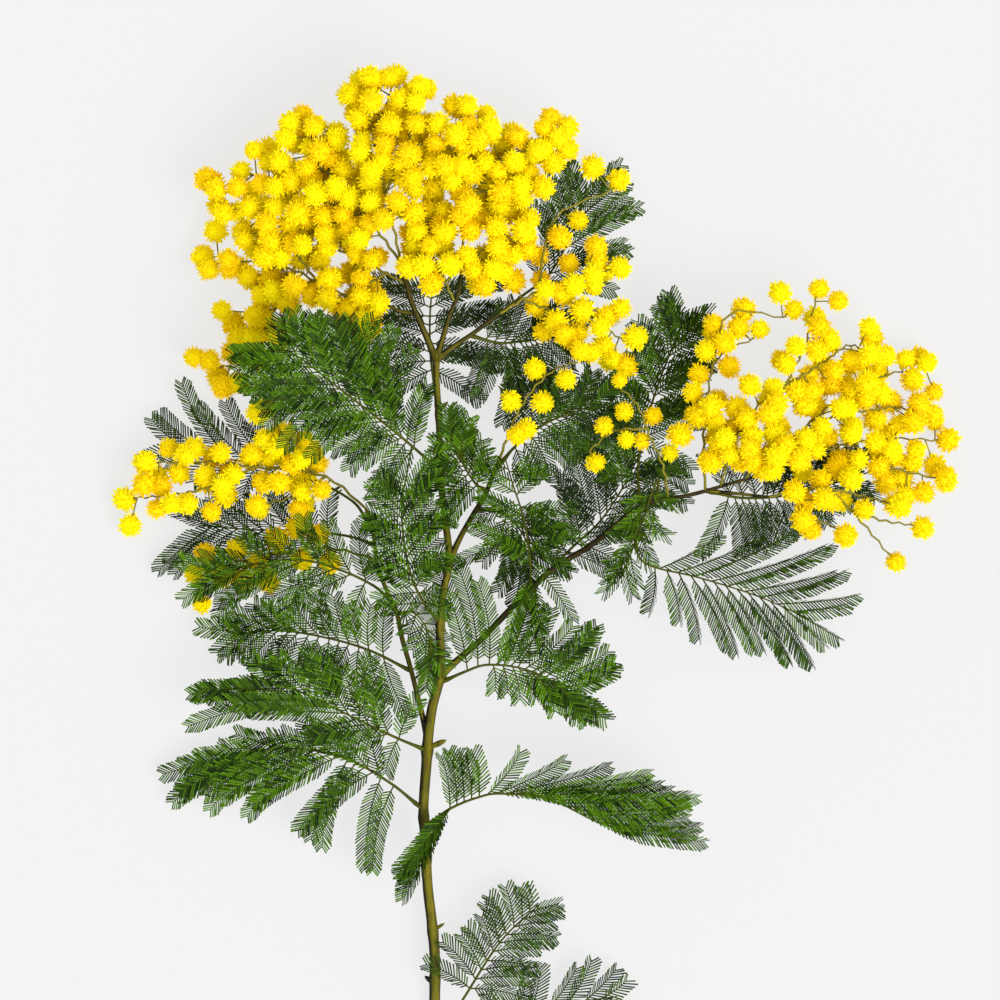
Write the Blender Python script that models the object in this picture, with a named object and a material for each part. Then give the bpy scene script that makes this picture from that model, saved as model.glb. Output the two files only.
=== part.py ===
"""A mimosa sprig in flower, cut from the tree and laid down on a table.

Metres, +Z up. The sprig lies along +Y, its cut end towards -Y, and rests on Z = 0 on its cut end
and on a few low flowers and leaf tips. The stem and all its forks are one woody solid. Each leaf is
a feathery frond of its own, and each spray of round yellow flower heads is one too. They stop a
hair's breadth off the bark that carries them.
"""

import math

import bmesh
import bpy
import numpy as np

# Driving sizes, in metres
MM = 0.001
HEAD_RADIUS = 4.1 * MM
HEAD_CORE = 3.3 * MM
HEAD_OFFSET = 4.8 * MM
FOOT_SHIFT = 0.12 * MM
HEAD_SPACING = 7.5 * MM
AXIS_RADIUS = 0.65 * MM
RACHIS_RADIUS = 0.9 * MM
PINNA_HALF_WIDTH = 3.7 * MM
PINNA_LEAST_HALF_WIDTH = 1.8 * MM
PINNA_RIB_HALF_WIDTH = 0.8 * MM
PINNA_THICKNESS = 0.9 * MM
PINNA_ROOT_HALF_WIDTH = 0.35 * MM
PINNA_ROOT_SHIFT = 0.2 * MM
PINNA_TOOTH_DROOP = 0.5 * MM
LONG_PINNA = 42 * MM
SEAT_GAP = 0.3 * MM
CLEARANCE = 0.35 * MM

# Driving shares and angles
BARE_SHARE = 0.12
FOLLOW_SHARE = 0.12
ARCH_SHARE = 0.06
SPINE_STEPS = 13
SPINE_MIDDLE = slice(5, 10)
NEIGHBOUR_SHARE = 0.46
ROOT_GROWTH = 3.2
BALLS_ACROSS = (-0.8, -0.4, 0, 0.4, 0.8)
TOOTH_PLACE = 0.62
TOOTH_TAPER = 0.35
RACHIS_STATIONS = 6
RACHIS_TAPER = 0.5
CURVE_STEPS = 8
ROOM_STEPS = 5
FIRST_HEAD_SHARE = 0.25
LAST_HEAD_SHARE = 0.97
HEAD_SWING = 50
HEAD_NUDGE = 40
NUDGES = 9
HEAD_RINGS = ((-14, HEAD_RADIUS, 0), (8, HEAD_CORE, 60), (40, HEAD_RADIUS, 0))
SOLVER = "MANIFOLD"

# The routes are drawn on squared paper, three squares to a millimetre: squares from the left edge,
# squares down from the top edge, and the height over the table in millimetres
SQUARE = MM / 3
PAPER_MIDDLE = (538, 576)
BARK_STEPS = 60

# Branches of the stem: squares across, squares down, height in mm, radius in mm
BRANCHES = {
    "main": [
        (432, 1078, 2.4, 2.4), (434, 1000, 4.5, 2.3), (434, 960, 6, 2.25), (431, 925, 7.5, 2.2),
        (427, 890, 9, 2.15), (425, 850, 11, 2.1), (423, 810, 13, 2.1), (426, 765, 16, 2.2),
        (428, 735, 18, 2.2), (432, 708, 20, 2.1), (438, 685, 22, 2.0), (441, 660, 24, 1.8),
        (440, 630, 26, 1.7), (443, 595, 28, 1.6), (449, 560, 29.5, 1.6), (446, 525, 30.5, 1.45),
        (441, 480, 32, 1.4), (439, 420, 33.5, 1.35), (437, 385, 34, 1.3), (436, 352, 35, 1.2),
    ],
    "fork_left": [
        (436, 360, 34.8, 1.1), (427, 338, 36, 1.05), (418, 318, 37, 0.95), (411, 300, 38, 0.9),
        (407, 285, 39, 0.85), (400, 262, 41, 0.75),
    ],
    "fork_side": [(415, 314, 37, 0.75), (400, 312, 37, 0.7), (388, 306, 37, 0.6)],
    "fork_middle": [
        (436, 360, 34.8, 1.0), (443, 338, 36, 0.85), (450, 315, 37, 0.75), (458, 295, 38, 0.7),
        (462, 272, 39, 0.65),
    ],
    "fork_right": [
        (436, 360, 34.8, 1.0), (455, 346, 35.5, 0.85), (470, 336, 36, 0.75), (485, 325, 36.5, 0.7),
        (500, 314, 37, 0.65),
    ],
    "bough": [
        (440, 676, 22.5, 1.6), (458, 660, 23.5, 1.55), (480, 641, 25, 1.5), (505, 615, 27, 1.5),
        (528, 592, 28.5, 1.5), (548, 573, 29.5, 1.45), (570, 558, 30.5, 1.4), (590, 546, 31.5, 1.35),
        (612, 528, 32.5, 1.3), (635, 509, 33.5, 1.2), (655, 501, 34, 1.1), (680, 497, 34.5, 1.0),
        (705, 491, 35, 0.9), (735, 482, 35.5, 0.75), (762, 475, 36, 0.65),
    ],
    "bough_fork": [(706, 490.5, 35, 0.75), (740, 494, 36, 0.65), (768, 497, 37, 0.6)],
    "inner": [
        (448, 564, 29.3, 1.3), (460, 538, 30.5, 1.1), (473, 515, 31.5, 1.05), (485, 495, 32.5, 1.0),
        (493, 475, 33.5, 0.9), (500, 458, 34.5, 0.8),
    ],
    "left_twig": [
        (428, 742, 17.6, 1.2), (418, 700, 19.5, 0.95), (410, 668, 20.5, 0.9), (402, 640, 21.5, 0.9),
        (396, 612, 22, 0.85), (386, 590, 22.5, 0.8), (377, 565, 22.5, 0.75), (373, 535, 22.5, 0.7),
        (366, 510, 22.5, 0.65),
    ],
}
BRANCH_SIDES = {"main": 7, "bough": 5}

# Fronds: the rachis from the bark outwards, then for each side the pinna tips in order, how many
# pinnae there are, the share of the rachis they stand on and how far their tips rise, in mm
FRONDS = {
    "frond_lower_left_high": (
        [(427, 752, 18), (393, 737, 24), (350, 716, 28), (300, 692, 28), (250, 675, 24)],
        ([(418, 700), (395, 668), (360, 650), (320, 648), (285, 650), (250, 658)], 4, (0.14, 0.85), -1),
        ([(385, 775), (330, 765), (270, 745), (200, 735), (162, 711), (208, 698)], 4, (0.14, 0.9), -3),
    ),
    "frond_lower_left_low": (
        [(423, 812, 14), (390, 785, 16), (352, 763, 16), (310, 752, 13), (262, 752, 9), (215, 762, 7)],
        ([(370, 730), (320, 722), (270, 728), (215, 740), (159, 777)], 4, (0.2, 0.95), -2),
        ([(365, 871), (340, 862), (262, 815), (228, 824), (200, 810), (169, 806)], 5, (0.2, 0.9), -3),
    ),
    "frond_left_high": (
        [(396, 606, 22.5), (372, 585, 27), (340, 570, 29), (300, 560, 28), (250, 565, 25), (205, 578, 21)],
        ([(360, 525), (318, 515), (275, 522), (225, 540), (180, 560)], 4, (0.15, 0.9), -1),
        ([(350, 630), (300, 622), (250, 622), (200, 615), (182, 600)], 4, (0.15, 0.9), -3),
    ),
    "frond_left_low": (
        [(411, 672, 20), (370, 652, 14), (330, 640, 11), (280, 632, 9), (235, 635, 7)],
        ([(370, 605), (330, 595), (285, 598), (235, 608), (196, 628)], 4, (0.25, 0.95), 0),
        ([(385, 705), (345, 692), (300, 682), (255, 672), (215, 655)], 4, (0.25, 0.95), -2),
    ),
    "frond_fan": (
        [(437, 468, 33), (405, 440, 42), (370, 412, 48), (335, 385, 52), (300, 358, 53), (270, 345, 52)],
        ([(428, 385), (413, 350), (395, 330), (375, 320), (350, 325), (325, 320), (298, 335)],
         7, (0.2, 0.95), -2),
        ([(385, 482), (350, 470), (312, 458), (285, 448), (268, 427), (253, 397), (250, 366)],
         7, (0.2, 0.95), -4),
    ),
    "frond_centre": (
        [(439, 622, 27), (426, 606, 33), (413, 580, 38), (405, 545, 41), (402, 505, 41), (407, 475, 38),
         (412, 445, 35)],
        ([(378, 600), (366, 565), (364, 525), (370, 490)], 4, (0.2, 0.75), -2),
        ([(448, 600), (455, 565), (454, 520), (450, 475)], 4, (0.2, 0.7), 0),
    ),
    "frond_left_back": (
        [(372, 530, 22.5), (350, 500, 16), (300, 474, 12), (250, 463, 8), (205, 455, 6), (160, 447, 5)],
        ([(290, 500), (240, 498), (190, 482), (140, 462)], 4, (0.4, 0.95), -1),
        ([(285, 425), (243, 410), (213, 397), (185, 380), (165, 385), (148, 418)], 4, (0.35, 0.9), 1),
    ),
    "frond_left_under": (
        [(375, 545, 22.5), (345, 536, 14), (300, 531, 10), (250, 530, 7), (200, 526, 5)],
        ([(330, 585), (275, 582), (225, 582), (185, 583), (155, 572)], 4, (0.3, 0.95), -1),
        ([(330, 490), (280, 492), (235, 495), (195, 500), (165, 507)], 4, (0.3, 0.95), 0),
    ),
    "frond_lower_right": (
        [(424, 830, 12), (450, 810, 20), (475, 799, 25), (500, 794, 28), (550, 800, 28), (600, 824, 24),
         (645, 838, 19)],
        ([(441, 757), (472, 752), (650, 773), (687, 795), (672, 811), (705, 843)], 6, (0.12, 0.86), -1),
        ([(402, 902), (398, 874)], 2, (0.07, 0.12), 2),
    ),
    "frond_bottom": (
        [(434, 1042, 3.2), (462, 1005, 8), (490, 960, 9), (510, 935, 9), (540, 908, 8)],
        ([(425, 968), (466, 945), (470, 905), (498, 898), (525, 893)], 4, (0.3, 0.92), 1),
        ([(530, 1005), (525, 980), (548, 957), (560, 933), (558, 908)], 4, (0.3, 0.92), 0),
    ),
    "frond_bottom_low": (
        [(433, 1060, 2.8), (480, 1038, 5), (540, 1018, 6), (590, 1006, 6), (618, 1002, 5)],
        ([(485, 1000), (525, 975), (570, 968), (604, 963), (628, 985)], 4, (0.3, 0.92), 1),
        ([(530, 1062), (575, 1050), (612, 1040), (635, 1020)], 4, (0.3, 0.92), -1),
    ),
    "frond_right_low": (
        [(641, 505, 33.7), (636, 535, 27), (645, 563, 23), (700, 578, 20), (760, 597, 15), (812, 620, 11)],
        ([(720, 535), (790, 527), (822, 537), (845, 553), (848, 578), (850, 605)], 5, (0.32, 0.92), 2),
        ([(650, 612), (700, 640), (738, 655), (765, 652), (792, 664), (815, 667), (842, 640)],
         7, (0.3, 0.92), -4),
    ),
    "frond_right_front": (
        [(657, 500, 34), (657, 480, 42), (650, 495, 47), (637, 535, 46), (620, 578, 41)],
        ([(628, 505), (613, 535), (605, 565), (603, 592)], 4, (0.35, 0.9), -2),
        ([(676, 505), (666, 535), (650, 565), (632, 595)], 4, (0.35, 0.9), -2),
    ),
    "frond_right_upper": (
        [(641, 508, 33.7), (638, 470, 27), (646, 425, 25), (660, 380, 24), (676, 340, 22), (690, 308, 20)],
        ([(605, 440), (606, 400), (617, 355), (633, 320), (660, 303)], 4, (0.3, 0.92), 1),
        ([(692, 470), (702, 430), (708, 392), (713, 350), (712, 312)], 4, (0.3, 0.92), -1),
    ),
    "frond_middle_back": (
        [(548, 573, 29.5), (572, 548, 22), (600, 522, 19), (622, 490, 17), (640, 455, 16)],
        ([(528, 515), (538, 488), (550, 462), (568, 438), (595, 418), (622, 412)], 4, (0.15, 0.95), 1),
        ([(622, 565), (650, 535), (672, 502), (685, 470)], 4, (0.25, 0.9), -2),
    ),
    "frond_top_right": (
        [(500, 314, 37), (522, 296, 30), (548, 275, 22), (566, 245, 16), (580, 210, 12), (588, 180, 10)],
        ([(520, 245), (530, 205), (545, 175), (567, 160)], 4, (0.35, 0.9), 0),
        ([(615, 290), (630, 250), (641, 205), (622, 162)], 4, (0.35, 0.9), 0),
    ),
    "frond_under_fork": (
        [(438, 415, 33.5), (434, 385, 27), (430, 350, 24), (430, 310, 22), (434, 275, 21)],
        ([(385, 400), (362, 365), (350, 325), (360, 290)], 4, (0.3, 0.9), -1),
        ([(480, 400), (502, 365), (508, 325), (490, 285)], 4, (0.3, 0.9), -1),
    ),
    "frond_fork_side": (
        [(470, 336, 36), (500, 343, 31), (530, 340, 28), (562, 334, 26)],
        ([(525, 303), (560, 300), (592, 308)], 3, (0.35, 0.9), 0),
        ([(478, 398), (502, 425), (550, 385), (590, 358)], 4, (0.25, 0.92), -1),
    ),
    "frond_right_back": (
        [(705, 491, 35), (745, 498, 26), (790, 495, 20), (840, 482, 15), (872, 472, 12)],
        ([(740, 455), (785, 448), (830, 445), (862, 450)], 4, (0.3, 0.9), 0),
        ([(702, 556), (755, 552), (800, 530), (845, 520), (878, 500)], 4, (0.12, 0.9), -1),
    ),
    "frond_bough_front": (
        [(523, 598, 28.3), (530, 584, 34), (530, 560, 38), (524, 520, 40), (513, 485, 41), (505, 458, 41)],
        ([(503, 660), (452, 582), (462, 552), (476, 528), (482, 500), (482, 465)], 4, (0.15, 0.92), 0),
        ([(545, 655), (572, 585), (568, 545), (558, 508), (535, 475)], 4, (0.15, 0.9), -1),
    ),
    "frond_small_right": (
        [(441, 683, 22), (465, 672, 26), (487, 665, 28), (520, 668, 30), (550, 680, 30), (590, 704, 27)],
        ([(478, 582), (530, 602), (566, 617), (612, 630), (615, 665)], 4, (0.3, 0.85), 1),
        ([(520, 700), (555, 712), (585, 722), (606, 720)], 4, (0.45, 0.92), -1),
    ),
    "frond_inner_left": (
        [(487, 491, 32.6), (476, 484, 35), (464, 466, 36), (450, 436, 36)],
        ([(446, 500), (436, 474), (436, 445)], 3, (0.35, 0.9), -1),
        ([(482, 440), (470, 418), (448, 408)], 3, (0.35, 0.9), 0),
    ),
    "frond_inner_right": (
        [(494, 472, 33.7), (516, 446, 33), (545, 424, 35), (575, 412, 36), (605, 404, 34)],
        ([(528, 385), (560, 378), (592, 372), (618, 378)], 4, (0.3, 0.9), 0),
        ([(548, 470), (580, 456), (610, 440), (632, 415)], 4, (0.3, 0.92), -1),
    ),
    "frond_inner_low": (
        [(476, 510, 31.6), (500, 512, 28), (520, 530, 26), (535, 560, 24)],
        ([(482, 562), (498, 592), (524, 604)], 3, (0.35, 0.9), -1),
        ([(548, 508), (570, 530), (568, 572)], 3, (0.35, 0.9), 0),
    ),
    "frond_twig": (
        [(397, 614, 22), (414, 613, 27), (427, 630, 29), (432, 655, 28)],
        ([(412, 650), (426, 692)], 2, (0.5, 0.95), -1),
        ([(442, 625), (446, 668)], 2, (0.5, 0.95), -1),
    ),
}

# Sprays: racemes of flower heads, the first from the bark outwards, the rest from the ones before.
# Each is a route and its number of heads, the last of them at the tip
SPRAYS = {
    "spray_top_far_left": [
        ([(388, 306, 37), (350, 298, 36), (320, 284, 31), (280, 264, 23), (240, 260, 14),
          (206, 254, 6)], 7),
        ([(320, 284, 31), (285, 240, 30), (252, 205, 25), (218, 186, 20)], 6),
        ([(300, 274, 27), (270, 296, 20), (240, 316, 14)], 4),
        ([(285, 285, 24), (262, 330, 17), (238, 364, 12), (206, 363, 9)], 5),
    ],
    "spray_top_left": [
        ([(400, 262, 41), (378, 232, 42), (350, 200, 42), (318, 165, 38), (302, 152, 35)], 6),
        ([(365, 217, 42), (330, 205, 40), (295, 185, 35), (250, 174, 29)], 6),
        ([(330, 178, 40), (322, 145, 38), (308, 127, 36)], 3),
    ],
    "spray_top": [
        ([(402, 270, 40.5), (396, 235, 47), (385, 190, 48), (374, 140, 46), (364, 92, 42)], 7),
        ([(386, 192, 48), (408, 150, 49), (414, 118, 46), (424, 102, 43)], 5),
        ([(372, 130, 46), (386, 110, 45), (392, 90, 43)], 2),
    ],
    "spray_top_middle": [
        ([(462, 272, 39), (464, 235, 44), (468, 200, 46), (485, 172, 44), (512, 152, 40),
          (560, 132, 33)], 8),
        ([(467, 205, 46), (455, 168, 48), (462, 138, 46), (480, 126, 43)], 5),
        ([(470, 195, 46), (500, 192, 42), (526, 187, 37)], 4),
    ],
    "spray_fork_left": [
        ([(407, 285, 39), (375, 268, 35), (335, 248, 31), (300, 226, 27)], 6),
        ([(385, 273, 36), (362, 290, 33), (352, 315, 30)], 4),
        ([(350, 256, 33), (345, 222, 31), (352, 190, 30)], 5),
    ],
    "spray_fork_middle": [
        ([(455, 303, 37.5), (442, 275, 43), (430, 245, 45), (426, 212, 45)], 6),
        ([(446, 285, 42), (470, 262, 44), (496, 242, 43), (520, 226, 39)], 5),
    ],
    "spray_fork_right": [
        ([(500, 314, 37), (530, 296, 38), (570, 278, 34), (610, 270, 28)], 6),
        ([(520, 303, 38), (555, 312, 38), (592, 322, 34), (630, 345, 28)], 6),
        ([(540, 292, 38), (548, 240, 33), (560, 208, 30), (585, 194, 27), (615, 188, 24)], 2),
    ],
    "spray_inner": [
        ([(500, 458, 34.5), (512, 425, 41), (525, 400, 43), (552, 372, 43), (583, 360, 40)], 6),
    ],
    "spray_bough": [
        ([(668, 499, 34.3), (661, 462, 40), (647, 432, 42), (636, 405, 42), (612, 382, 40)], 5),
        ([(645, 428, 42), (612, 432, 41), (588, 452, 39)], 3),
    ],
    "spray_right_upper": [
        ([(705, 491, 35), (702, 455, 40), (706, 405, 41), (706, 375, 40), (728, 348, 37),
          (755, 338, 34)], 7),
        ([(707, 372, 40), (714, 335, 40), (738, 310, 37), (786, 318, 31)], 4),
    ],
    "spray_right_top": [
        ([(746, 479, 35.7), (757, 450, 41), (772, 410, 42), (795, 365, 38), (812, 325, 33),
          (816, 296, 30)], 7),
        ([(785, 385, 40), (815, 368, 35), (850, 345, 29), (873, 357, 25)], 5),
    ],
    "spray_right_middle": [
        ([(762, 475, 36), (780, 458, 36.5), (807, 425, 34), (850, 392, 26), (890, 374, 16),
          (935, 366, 5)], 8),
        ([(812, 420, 33), (858, 412, 27), (895, 407, 20), (926, 413, 15)], 5),
    ],
    "spray_right_low": [
        ([(736, 482, 35.5), (765, 474, 30), (805, 455, 27), (850, 444, 22), (900, 438, 15),
          (945, 440, 9)], 8),
        ([(850, 444, 22), (890, 466, 17), (940, 478, 12)], 4),
    ],
    "spray_right_under": [
        ([(768, 497, 37), (785, 493, 40), (805, 489, 42), (835, 490, 40), (885, 502, 32)], 6),
        ([(792, 491, 41), (808, 514, 41), (835, 528, 37)], 4),
        ([(828, 490, 40), (850, 514, 35), (876, 532, 30), (890, 555, 25)], 1),
        ([(850, 512, 35), (880, 520, 32), (912, 525, 28)], 1),
    ],
    "spray_right_centre": [
        ([(720, 486, 35.3), (728, 455, 47), (740, 425, 49), (765, 398, 48)], 5),
        ([(731, 448, 47.5), (755, 455, 50), (790, 440, 48)], 4),
        ([(731, 448, 47.5), (712, 430, 47), (696, 420, 45)], 2),
    ],
    "spray_left": [
        ([(366, 510, 22.5), (350, 480, 26), (310, 476, 26), (265, 468, 24), (215, 462, 20),
          (150, 463, 15)], 11),
        ([(258, 467, 24), (205, 488, 18), (160, 496, 12), (130, 498, 8)], 6),
        ([(318, 477, 26), (292, 450, 27), (272, 418, 26)], 5),
        ([(330, 478, 26), (300, 494, 23), (268, 503, 19)], 3),
    ],
    "spray_left_low": [
        ([(376, 560, 22.5), (345, 548, 20), (300, 551, 17), (250, 558, 13), (190, 577, 8)], 7),
    ],
}


def at(across, down, height):
    """A place on the squared paper, in metres."""
    x = (across - PAPER_MIDDLE[0]) * SQUARE
    y = (PAPER_MIDDLE[1] - down) * SQUARE
    return np.array([x, y, height * MM])


def smooth(points, steps):
    """A smooth curve through the points, with this many steps between each two of them."""
    points = np.array(points)
    ends = np.vstack([2 * points[0] - points[1], points, 2 * points[-1] - points[-2]])
    curve = []
    for i in range(len(points) - 1):
        a, b, c, d = ends[i : i + 4]
        for t in np.linspace(0, 1, steps, endpoint=False):
            bend = (2 * a - 5 * b + 4 * c - d) * t + (3 * b - a - 3 * c + d) * t * t
            curve.append(0.5 * (2 * b + (c - a) * t + bend * t))
    curve.append(points[-1])
    return np.array(curve)


def unit(vector):
    return vector / np.linalg.norm(vector)


def place_on(curve, share):
    """The point at this share of the curve's length, and the direction there."""
    steps = np.linalg.norm(np.diff(curve, axis=0), axis=1)
    reach = np.concatenate([[0], np.cumsum(steps)])
    wanted = share * reach[-1]
    i = min(max(int(np.searchsorted(reach, wanted)) - 1, 0), len(steps) - 1)
    point = curve[i] + (wanted - reach[i]) / steps[i] * (curve[i + 1] - curve[i])
    direction = curve[min(i + 2, len(curve) - 1)] - curve[max(i - 1, 0)]
    return point, unit(direction)


class Room:
    """What each node fills so far, as small balls, so that the next piece can be bent clear of it."""

    def __init__(self):
        self.centres = np.zeros((0, 3))
        self.radii = np.zeros(0)
        self.owners = np.zeros(0, int)
        self.names = []

    def add(self, owner, centres, radii):
        if owner not in self.names:
            self.names.append(owner)
        self.centres = np.vstack([self.centres, centres])
        self.radii = np.concatenate([self.radii, np.full(len(centres), radii)])
        mine = np.full(len(centres), self.names.index(owner))
        self.owners = np.concatenate([self.owners, mine])

    def is_clear(self, owner, centres, radius, skipped=()):
        if (centres[:, 2] - radius).min() < 0:
            return False
        reach = radius + HEAD_RADIUS + CLEARANCE
        low, high = centres.min(axis=0) - reach, centres.max(axis=0) + reach
        near = ((self.centres > low) & (self.centres < high)).all(axis=1)
        for name in (owner, *skipped):
            if name in self.names:
                near &= self.owners != self.names.index(name)
        if not near.any():
            return True
        gaps = np.linalg.norm(centres[:, None] - self.centres[near][None], axis=2)
        return bool((gaps - self.radii[near] > radius + CLEARANCE).all())


def branch_lines():
    """Each branch's centre line at close steps, its direction and its radius there."""
    lines = {}
    for name, route in BRANCHES.items():
        stops = np.array([at(*stop[:3]) for stop in route])
        shares = np.linspace(0, len(route) - 1, BARK_STEPS * (len(route) - 1) + 1)
        line = np.stack([np.interp(shares, range(len(route)), stops[:, k]) for k in range(3)], axis=1)
        radii = np.interp(shares, range(len(route)), [stop[3] * MM for stop in route])
        along = np.gradient(line, axis=0)
        along /= np.linalg.norm(along, axis=1)[:, None]
        lines[name] = (line, along, radii)
    return lines


def gap_to_bark(point, bark):
    """How far a point stands off the bark, and which way the bark faces there."""
    centres, along, radii = bark
    nearest = int((np.linalg.norm(centres - point, axis=1) - radii).argmin())
    away = point - centres[nearest]
    past_end = away @ along[nearest]
    outwards = away - past_end * along[nearest]
    off_side = np.linalg.norm(outwards) - radii[nearest]
    if abs(past_end) > SEAT_GAP and off_side < abs(past_end):
        return abs(past_end), along[nearest]
    if off_side < 0:
        return off_side, along[nearest]
    return off_side, unit(outwards)


def off_the_bark(stops, own_radius, bark):
    """The route without its start, cut where its flat end first stands the seat gap off the bark."""
    fine = smooth(stops, BARK_STEPS)
    for i in range(len(fine) - 1):
        gap, facing = gap_to_bark(fine[i], bark)
        slant = math.sqrt(max(0, 1 - (unit(fine[i + 1] - fine[i]) @ facing) ** 2))
        if gap > SEAT_GAP + own_radius * slant:
            later = [stop for k, stop in enumerate(stops) if BARK_STEPS * k > i + BARK_STEPS // 3]
            return np.vstack([fine[i], later])
    raise ValueError("a route never leaves the bark")


def pinna_curve(root, direction, tip, lift):
    """A pinna's spine: it leaves the rachis slanting, and bends over to its tip."""
    reach = np.linalg.norm(tip - root)
    rise = np.array([0, 0, ARCH_SHARE * reach + lift / 2])
    bend = (root + tip) / 2 + FOLLOW_SHARE * reach * direction + rise
    end = tip + np.array([0, 0, lift])
    t = np.linspace(0, 1, SPINE_STEPS)[:, None]
    return (1 - t) ** 2 * root + 2 * t * (1 - t) * bend + t * t * end


def blade_balls(spine):
    """Balls that fill a pinna's blade, for the test of what it would cross."""
    along = np.gradient(spine, axis=0)
    side = np.cross([0, 0, 1.0], along)
    side /= np.linalg.norm(side, axis=1)[:, None]
    width = PINNA_HALF_WIDTH * np.minimum(1, np.linspace(0, ROOT_GROWTH, len(spine)))[:, None]
    return np.vstack([spine + share * width * side for share in BALLS_ACROSS])


def spread_tips(drawn, count):
    """The drawn tips, or as many as asked for spread evenly along them."""
    drawn = np.array(drawn, float)
    steps = np.linspace(0, len(drawn) - 1, count)
    return np.stack([np.interp(steps, range(len(drawn)), drawn[:, k]) for k in (0, 1)], axis=1)


LIFTS = [0, 1.5, -1.5, 3, -3, 4.5, -4.5, 6, -6, 8, -8, 10, -10, 13, -13, 16]


def settle_pinnae(name, rachis, sides, room):
    """Each pinna's spine, lifted or lowered at its tip until it is clear of the other nodes."""
    spines = []
    for tips, count, (first, last), rise in sides:
        shares = np.linspace(first, last, count)
        for share, (across, down) in zip(shares, spread_tips(tips, count)):
            root, direction = place_on(rachis, share)
            tip = at(across, down, 0)
            tip[2] = root[2] + rise * MM
            for lift in LIFTS:
                spine = pinna_curve(root, direction, tip, lift * MM)
                balls = blade_balls(spine)
                if room.is_clear(name, balls, PINNA_THICKNESS):
                    room.add(name, balls, PINNA_THICKNESS)
                    spines.append(spine)
                    break
    return spines


def head_shares(count):
    """Where the heads of a raceme stand along it, the last of them at its tip."""
    if count < 3:
        return [0.4, 1][-count:]
    step = (1 - FIRST_HEAD_SHARE) / count
    return [FIRST_HEAD_SHARE + step * (i + 0.4) for i in range(count - 1)] + [1]


def settle_heads(name, curves, room):
    """Each flower head's centre and the way it faces: it stands on alternate sides of its raceme,
    and is turned round it, or moved along it, until it is clear of all the others."""
    heads = []
    turn = 0
    for curve, count in curves:
        for share in head_shares(count):
            turn += 1
            for k in range(3 * NUDGES):
                moved = share + (0, 0.3, -0.3)[k // NUDGES] / count
                point, along = place_on(curve, min(moved, LAST_HEAD_SHARE))
                side = unit(np.cross([0, 0, 1.0], along))
                swing = HEAD_SWING * math.sin(turn * 2.4)
                angle = math.radians(180 * turn + swing + HEAD_NUDGE * (k % NUDGES) * (-1) ** k)
                away = math.cos(angle) * side + math.sin(angle) * np.cross(along, side)
                if share == 1 and k == 0:
                    away = along
                centre = point + away * HEAD_OFFSET
                apart = [np.linalg.norm(centre - other) for other, _ in heads]
                if apart and min(apart) < HEAD_SPACING:
                    continue
                if room.is_clear(name, centre[None], HEAD_RADIUS):
                    room.add(name, centre[None], HEAD_RADIUS)
                    heads.append((centre, away))
                    break
    return heads


def add_tube(bm, curve, radii, sides):
    """A closed tube along the curve, with flat ends."""
    rings = []
    along = np.gradient(curve, axis=0)
    side = unit(np.cross([0.3, 0.1, 1.0], along[0]))
    for point, forward, radius in zip(curve, along, radii):
        forward = unit(forward)
        side = unit(side - forward * (side @ forward))
        up = np.cross(forward, side)
        ring = []
        for k in range(sides):
            angle = 2 * math.pi * k / sides
            ring.append(bm.verts.new(point + radius * (math.cos(angle) * side + math.sin(angle) * up)))
        rings.append(ring)
    for low, high in zip(rings, rings[1:]):
        for k in range(sides):
            bm.faces.new((low[k], low[(k + 1) % sides], high[(k + 1) % sides], high[k]))
    bm.faces.new(rings[0][::-1])
    bm.faces.new(rings[-1])


def add_blade(bm, spine, pairs, half_width):
    """A pinna: one thin arched blade cut into leaflets down to a narrow rib, thickest at the rib."""
    apex = bm.verts.new(spine[-1])
    stations = []
    teeth = []
    for j in range(pairs):
        point, along = place_on(spine, BARE_SHARE + (1 - BARE_SHARE) * j / pairs)
        if j == 0:
            point = spine[0] + PINNA_ROOT_SHIFT * along
        side = unit(np.cross([0, 0, 1.0], along))
        up = np.cross(along, side) * PINNA_THICKNESS * (0.5 if j else 0.33)
        side = side * (PINNA_RIB_HALF_WIDTH if j else PINNA_ROOT_HALF_WIDTH)
        stations.append([bm.verts.new(point + way) for way in (up, -up, side, -side)])
        point, along = place_on(spine, BARE_SHARE + (1 - BARE_SHARE) * (j + TOOTH_PLACE) / pairs)
        side = unit(np.cross([0, 0, 1.0], along)) * half_width * (1 - TOOTH_TAPER * (j / pairs) ** 2)
        droop = np.array([0, 0, -PINNA_TOOTH_DROOP])
        teeth.append([bm.verts.new(point + way + droop) for way in (side, -side)])
    for j, (top, bottom, *ribs) in enumerate(stations):
        after = stations[j + 1] if j < pairs - 1 else None
        for s in (0, 1):
            for face, low in enumerate((top, bottom)):
                turned = s != face
                add_face(bm, (low, after[face] if after else apex, teeth[j][s]), turned)
                add_face(bm, (low, teeth[j][s], ribs[s]), turned)
                if after:
                    add_face(bm, (after[face], after[2 + s], teeth[j][s]), turned)
    top, bottom, left, right = stations[0]
    bm.faces.new((top, left, bottom, right))


def add_face(bm, corners, turned):
    bm.faces.new(corners[::-1] if turned else corners)


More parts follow.
